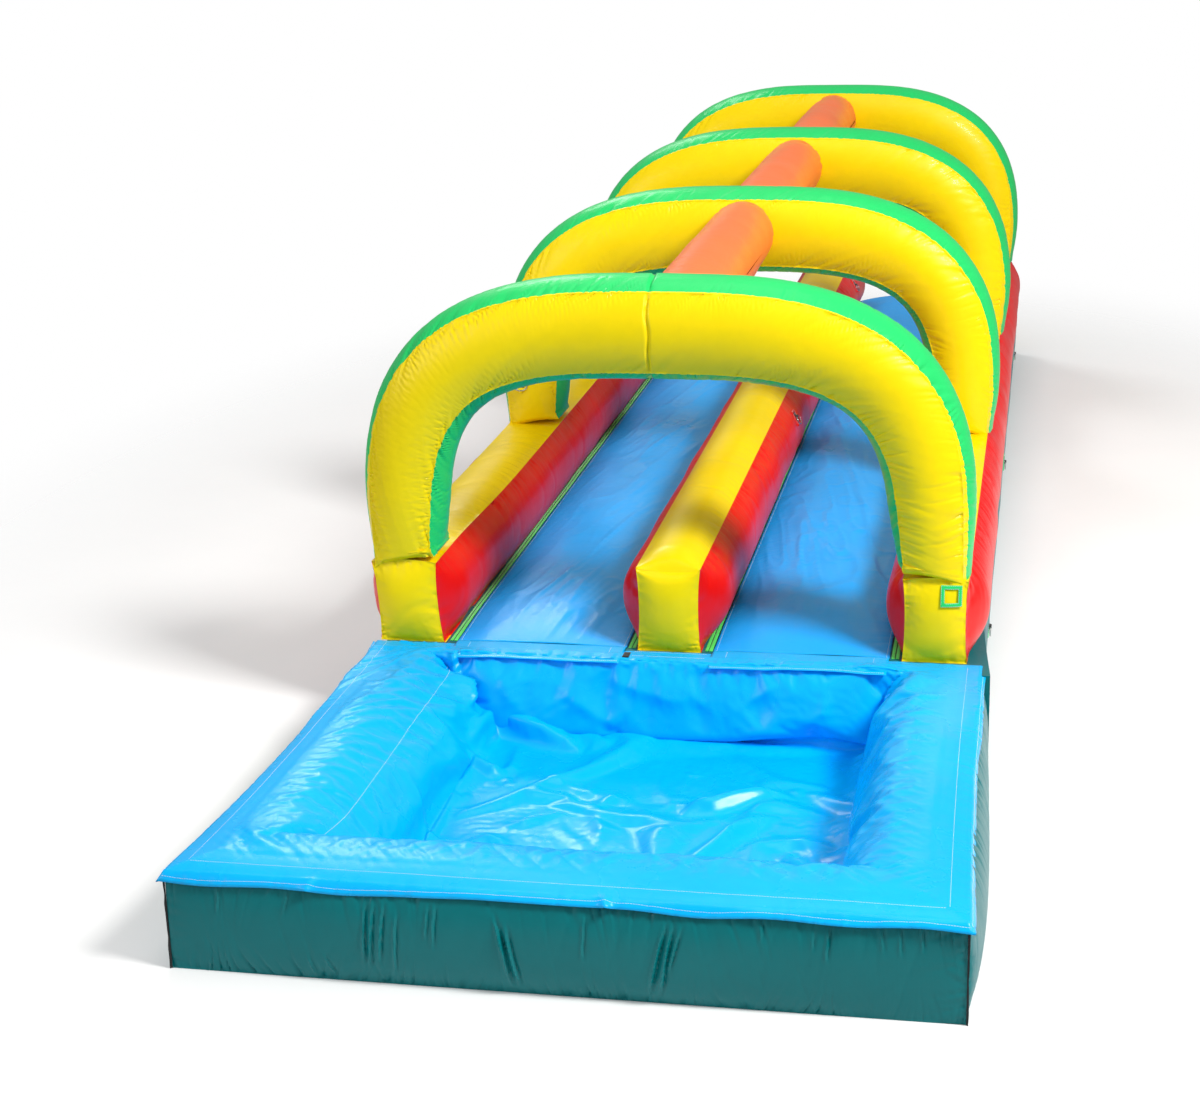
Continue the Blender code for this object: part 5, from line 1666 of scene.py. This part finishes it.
def make_frame_patch():
    """An open square of cloth on the right wall's cap, sewn along both of its edges."""
    low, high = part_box("cap_frame")
    centre = np.array([(low.x + high.x) / 2, (low.z + high.z) / 2])
    outer, band = (high.x - low.x) / 2 - 0.001, 0.020
    turn = np.linspace(0, 4, 97)
    corner = np.floor(turn).astype(int) % 4
    along = turn - np.floor(turn)
    corners = np.array([(-1, -1), (1, -1), (1, 1), (-1, 1), (-1, -1)], float)
    square = corners[corner] + (corners[corner + 1] - corners[corner]) * along[:, None]
    reach = np.linspace(outer, outer - band, 9)
    flat = centre + square[None] * reach[:, None, None]
    x, z = flat[..., 0], flat[..., 1]
    share = np.linspace(0, 1, 9)[:, None]
    lift = 0.0014 * (1 - np.abs(2 * share - 1) ** 8)
    for row in (0.15, 0.85):
        lift = lift - 0.0006 * bell(share - row, 0.06)
    points = np.stack([x, cap_surface(x, z) - lift, z], 2)
    inside = np.array([centre[0], wall_front + 0.5, centre[1]])
    uv = np.stack(np.broadcast_arrays(turn * outer * 2, share * band), 2)
    grids = [facet(points, inside, 0, uv)]
    for row in (1, 7):
        grids += stitch_grid(points[row] - [0, 0.0004, 0], [0, -1.0, 0], 1)
    piece = chamber("cap_frame_cloth", grids, [green, thread], sharp=60, weld=0)
    settle(piece, "slide", ["cap_frame"], "green_vinyl")


make_frame_patch()

# %% [markdown]
# ## Air inlet
#
# At the rear, air comes in through a cloth sleeve that a strap ties to the blower. The sleeve is
# soft, so it is drawn slack, with long folds that run from the strap to its mouth.


# %% Air inlet
def sleeve_radius(turn, share, seed):
    """The slack tube: round at the slide, drawn in at the strap and loose at the mouth."""
    strap = bell(share - 0.745, 0.05)
    loose = np.clip((share - 0.1) * 2, 0, 1) * (1 - 0.6 * strap)
    fold = creases(turn * 1.9 + 0.4 * noise_line(share * 5, seed), seed + 1)
    wave = noise_sheet(turn * 1.6, share * 3.1, seed + 2)
    return 0.1185 - 0.010 * fold * loose - 0.0035 * (1 + wave) * loose - 0.0022 * strap


def make_inlet():
    """The cloth sleeve, inside and out with its lip, and the strap drawn round it."""
    low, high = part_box("inlet_sleeve")
    centre = np.array([(low.x + high.x) / 2, 0, (low.z + high.z) / 2])

    def tube(radius, turn, y):
        points = stacked(centre[0] + radius * np.cos(turn), y, centre[2] + radius * np.sin(turn))
        return facet(points, stacked(centre[0], y[:, 0], centre[2])[:, None], 0, metres(points))

    share = np.linspace(0, 1, steps(0.32, 0.006) + 1)[:, None]
    turn = np.linspace(0, 2 * np.pi, steps(0.75, 0.008) + 1)[None, :]
    radius = sleeve_radius(np.minimum(turn, 2 * np.pi - turn), share, 1701)
    y = low.y - 0.004 + (high.y - low.y + 0.003) * share
    panels = [tube(radius - thin, turn, y) for thin in (0.0, 0.0016)]
    lip = np.stack([grid["points"][-1] for grid in panels])
    panels.append(facet(lip, centre + [0, 5.0, 0], 0, lip[..., ::2]))
    piece = chamber("inlet_sleeve_cloth", panels, [red], sharp=60)
    settle(piece, "slide", ["inlet_sleeve"], "red_vinyl")
    low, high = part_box("inlet_strap")
    wide = np.linspace(0, 1, 9)[:, None]
    turn = np.linspace(-0.25, 2 * np.pi + 0.25, 120)[None, :]
    wrap = 0.1212 + 0.0016 * np.clip((turn - 6.2) / 0.2, 0, 1) + 0.0007 * (1 - np.abs(2 * wide - 1) ** 6)
    strap = tube(wrap, turn, low.y + (high.y - low.y) * wide)
    piece = chamber("inlet_strap_webbing", [strap], [webbing], sharp=60, weld=0)
    thicken(piece, 0.0014)
    settle(piece, "slide", ["inlet_strap"], "black_webbing")


make_inlet()

# %% [markdown]
# ## Deflation zip
#
# Air goes out through a zip under a rain flap. Its teeth stand in two rows, so every second tooth
# is a little higher. The slider is cast in one piece with its pull.


# %% Deflation zip
tooth_count = 96


def bar_grids(low, high, slots, turn_edge):
    """The six faces of a small block, with corners drawn in by turn_edge."""
    low, high = np.array(low), np.array(high)
    middle, half = (low + high) / 2, (high - low) / 2
    share = np.array([-1, -0.8, 0.8, 1.0])
    grids = []
    for axis in range(3):
        for way in (-1, 1):
            a, b = np.meshgrid(share, share, indexing="ij")
            unit = np.zeros((4, 4, 3))
            unit[..., axis] = way
            unit[..., (axis + 1) % 3], unit[..., (axis + 2) % 3] = a, b
            near_edge = (np.abs(unit) > 0.99).sum(2) - 1
            points = middle + unit * (half - turn_edge * near_edge[..., None] * 0.5)
            grids.append(facet(points, middle, slots))
    return grids


def make_zip():
    """The tape with its teeth and two rows of thread, and the slider that runs on it."""
    low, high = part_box("zip_tape")
    rows = np.linspace(0, 1, 9)[:, None]
    along = np.linspace(0, 1, 90)[None, :]
    tape_y = high.y - 0.0012 - 0.0007 * np.abs(2 * rows - 1) ** 3 + 0.0003 * noise_line(along * 21, 1801)
    points = stacked(low.x + (high.x - low.x) * along, tape_y, low.z + (high.z - low.z) * rows)
    grids = [facet(points, np.array([1.0, 5.0, 0.13]), 0, metres(points)[..., ::-1])]
    middle = (low.z + high.z) / 2
    for number in range(tooth_count):
        x = low.x + 0.014 + (high.x - low.x - 0.028) * number / (tooth_count - 1)
        corner = (x + 0.0017, high.y - 0.0004, middle + 0.0028)
        tooth = bar_grids((x - 0.0017, high.y - 0.0018, middle - 0.0028), corner, 1, 0.0006)
        for grid in tooth:
            grid["points"] = grid["points"] + [0, 0, 0.0012 * (1 if number % 2 else -1)]
        grids += tooth
    for z in (low.z + 0.004, high.z - 0.004):
        spots = stacked(np.linspace(low.x + 0.004, high.x - 0.004, 60), high.y - 0.0009, z)
        grids += stitch_grid(spots, [0, 1.0, 0], 2)
    piece = chamber("zip_tape_cloth", grids, [webbing, steel, thread], sharp=50, weld=0)
    settle(piece, "slide", ["zip_tape"], "black_webbing")
    low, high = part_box("zip_slider")
    blocks = (
        ((0, low.y + 0.0002, 0.004), (0, low.y + 0.0036, 0.001), 0.0014),
        ((0.004, low.y + 0.0030, 0.009), (0.004, high.y - 0.0004, 0.003), 0.0012),
        ((0.003, low.y + 0.0036, 0), (0.003, low.y + 0.0050, 0.008), 0.0008),
    )
    grids = []
    for (west, front, under), (east, back, over), edge in blocks:
        start, end = (low.x + west, front, low.z + under), (high.x - east, back, high.z - over)
        grids += bar_grids(start, end, 0, edge)
    piece = chamber("zip_slider_cast", grids, [steel], sharp=35, weld=0)
    settle(piece, "zip_slider", ["zip_slider"], "ring_steel")


def make_zip_flap():
    """The rain flap: a rolled hem that turns on the hinge line and a sheet that hangs from it."""
    low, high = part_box("zip_flap")
    axis_z, hem_radius, hinge_y = 0.190, 0.0068, (low.y + high.y) / 2
    across = np.linspace(0, 1, steps(0.56, 0.008) + 1)[:, None]
    turn = np.linspace(-0.5 * np.pi, 1.5 * np.pi, 17)
    drop = np.linspace(hem_radius, 0.0995, 18)[1:]
    x = low.x + 0.001 + (high.x - low.x - 0.002) * across
    hang = np.clip((drop - 0.02) / 0.08, 0, 1)[None, :]
    roll = stacked(x, hinge_y + hem_radius * np.sin(turn), axis_z + hem_radius * np.cos(turn))
    sheet = stacked(x, hinge_y + hang * (0.0012 * noise_line(across * 5, 1901)), axis_z - drop)
    inside = np.array([1.0, hinge_y, axis_z])
    hanging = facet(sheet, inside - [0, 3, 0], 0, metres(sheet) + [0, 0.1])
    grids = [facet(roll, inside, 0, metres(roll)), hanging]
    piece = chamber("zip_flap_cloth", grids, [teal], sharp=70, weld=0)
    thicken(piece, offset=0)
    facts = {"flat": (0.56, 0.145), "held": "hung", "rests_on": ["lane_bed_skin"]}
    settle(piece, "zip_flap", ["zip_flap"], "teal_vinyl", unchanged, **facts)


make_zip()
make_zip_flap()

# %% [markdown]
# ## Inner webs
#
# Without webs inside, air would blow the bed up into a round tube. They are open sheets of bare
# scrim that tie its top to its bottom.


# %% Inner webs
def make_baffle(name):
    """An upright web of bare scrim inside the bed, drawn to a slight wave by its lacing."""
    low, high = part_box(name)
    y = np.linspace(low.y, high.y, steps(high.y - low.y, 0.10) + 1)[:, None]
    z = np.linspace(low.z, high.z, 7)[None, :]
    wave = 0.0025 * noise_sheet(y / 0.5, z / 0.2, 2001) * np.sin(np.pi * (z - low.z) / (high.z - low.z))
    points = stacked((low.x + high.x) / 2 + wave, y, z)
    piece = cloth_sheet(f"{name}_web", points, np.array([9.0, 0, 0.2]), scrim, 0.0005)
    facts = {"flat": (high.y - low.y, high.z - low.z), "held": "stretched", "rests_on": ["lane_bed_skin"]}
    settle(piece, "slide", [name], "white_fabric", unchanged, **facts)


for name in sorted(frame["nodes"]):
    if name.startswith("bed_baffle"):
        make_baffle(name)

# %% [markdown]
# ## Studio
#
# The slide stands on a plain pale floor that runs out into white, with large soft lights. The
# key light is high on the right, so the domes and the seam gathers on the arches show as form.
# The camera stands where the photographer did: to the right of the pool, above head height,
# looking down the lanes with a slight tilt.


# %% Floor, lights and camera
floor_reach, fade_start, fade_end = 90.0, 3.3, 6.4
camera_place, camera_lens = (1.891, -14.313, 4.538), 67.28
camera_yaw, camera_pitch, camera_roll = -11.598, -17.706, -1.613


def make_floor():
    """A plain pale floor that fades out into the white room round it."""
    material, tree, shader = blank("pale studio floor", 0.75)
    spot = own_space(tree)
    drift(tree, shader, linear("F4F4F4"), spot, 0.01)
    oval = node(tree, "ShaderNodeVectorMath", {"operation": "MULTIPLY"}, {0: spot, 1: (1, 0.62, 0)})
    away = node(tree, "ShaderNodeVectorMath", {"operation": "LENGTH"}, {0: oval}).node.outputs["Value"]
    fade = {"Value": away, "From Min": fade_start, "From Max": fade_end, "To Min": 0.0, "To Max": 1.0}
    far = node(tree, "ShaderNodeMapRange", {"interpolation_type": "SMOOTHSTEP"}, fade)
    clear = node(tree, "ShaderNodeBsdfTransparent", {}, {})
    mixed = node(tree, "ShaderNodeMixShader", {}, {0: far, 1: shader.outputs[0], 2: clear})
    tree.links.new(mixed, tree.nodes["Material Output"].inputs["Surface"])
    mesh = bpy.data.meshes.new("studio_floor")
    corners = [(x * floor_reach, y * floor_reach, 0) for x, y in ((-1, -1), (1, -1), (1, 1), (-1, 1))]
    mesh.from_pydata(corners, [], [(0, 1, 2, 3)])
    mesh.materials.append(material)
    floor = placed("studio_floor", mesh)


def area_light(name, place, target, size, power, colour=(1, 1, 1)):
    """A soft rectangular light that faces its target."""
    light = bpy.data.lights.new(name, "AREA")
    light.shape = "RECTANGLE"
    light.size, light.size_y = size
    light.energy, light.color = power, colour
    made = placed(name, light)
    made.location = place
    made.rotation_euler = (Vector(target) - Vector(place)).to_track_quat("-Z", "Y").to_euler()


def make_world():
    """White to the camera, and a third as bright as a light."""
    world = bpy.data.worlds.new("white room")
    world.use_nodes = True
    tree = world.node_tree
    surface = tree.nodes["Background"]
    surface.inputs["Color"].default_value = (1, 1, 1, 1)
    rays = node(tree, "ShaderNodeLightPath", {}, {}).node.outputs
    seen = {"Value": rays["Is Camera Ray"], "To Min": 0.30, "To Max": 1.0}
    strength = node(tree, "ShaderNodeMapRange", {}, seen)
    tree.links.new(strength, surface.inputs["Strength"])
    bpy.context.scene.world = world


def make_camera():
    """The photographer's place and lens, as fitted to the photo's straight seams."""
    yaw, pitch, roll = (math.radians(value) for value in (camera_yaw, camera_pitch, camera_roll))
    forward = Vector((math.sin(yaw) * math.cos(pitch), math.cos(yaw) * math.cos(pitch), math.sin(pitch)))
    right = Vector((math.cos(yaw), -math.sin(yaw), 0))
    upright = right.cross(forward)
    turned = right * math.cos(roll) + upright * math.sin(roll)
    upward = upright * math.cos(roll) - right * math.sin(roll)
    data = bpy.data.cameras.new("photo camera")
    data.lens, data.sensor_width, data.sensor_fit = camera_lens, 36.0, "HORIZONTAL"
    camera = placed("photo camera", data)
    facing = Matrix((turned, upward, -forward)).transposed().to_4x4()
    camera.matrix_world = Matrix.Translation(camera_place) @ facing
    bpy.context.scene.camera = camera


make_floor()
make_world()
make_camera()
bpy.context.scene.view_settings.view_transform = "Standard"
area_light("key", (9.5, -8.5, 11.5), (0, -1, 0.5), (3.6, 3.6), 2500, (1.0, 0.985, 0.96))
area_light("fill", (-12, -12, 7), (0, -1, 0.5), (8, 6), 620, (0.95, 0.97, 1.0))
area_light("rim", (-7, 13, 12), (0, 1, 1.0), (5, 4), 600)
area_light("top", (0, -2, 13), (0, -1, 0), (6, 12), 420)
print("lights:", len(bpy.data.lights))
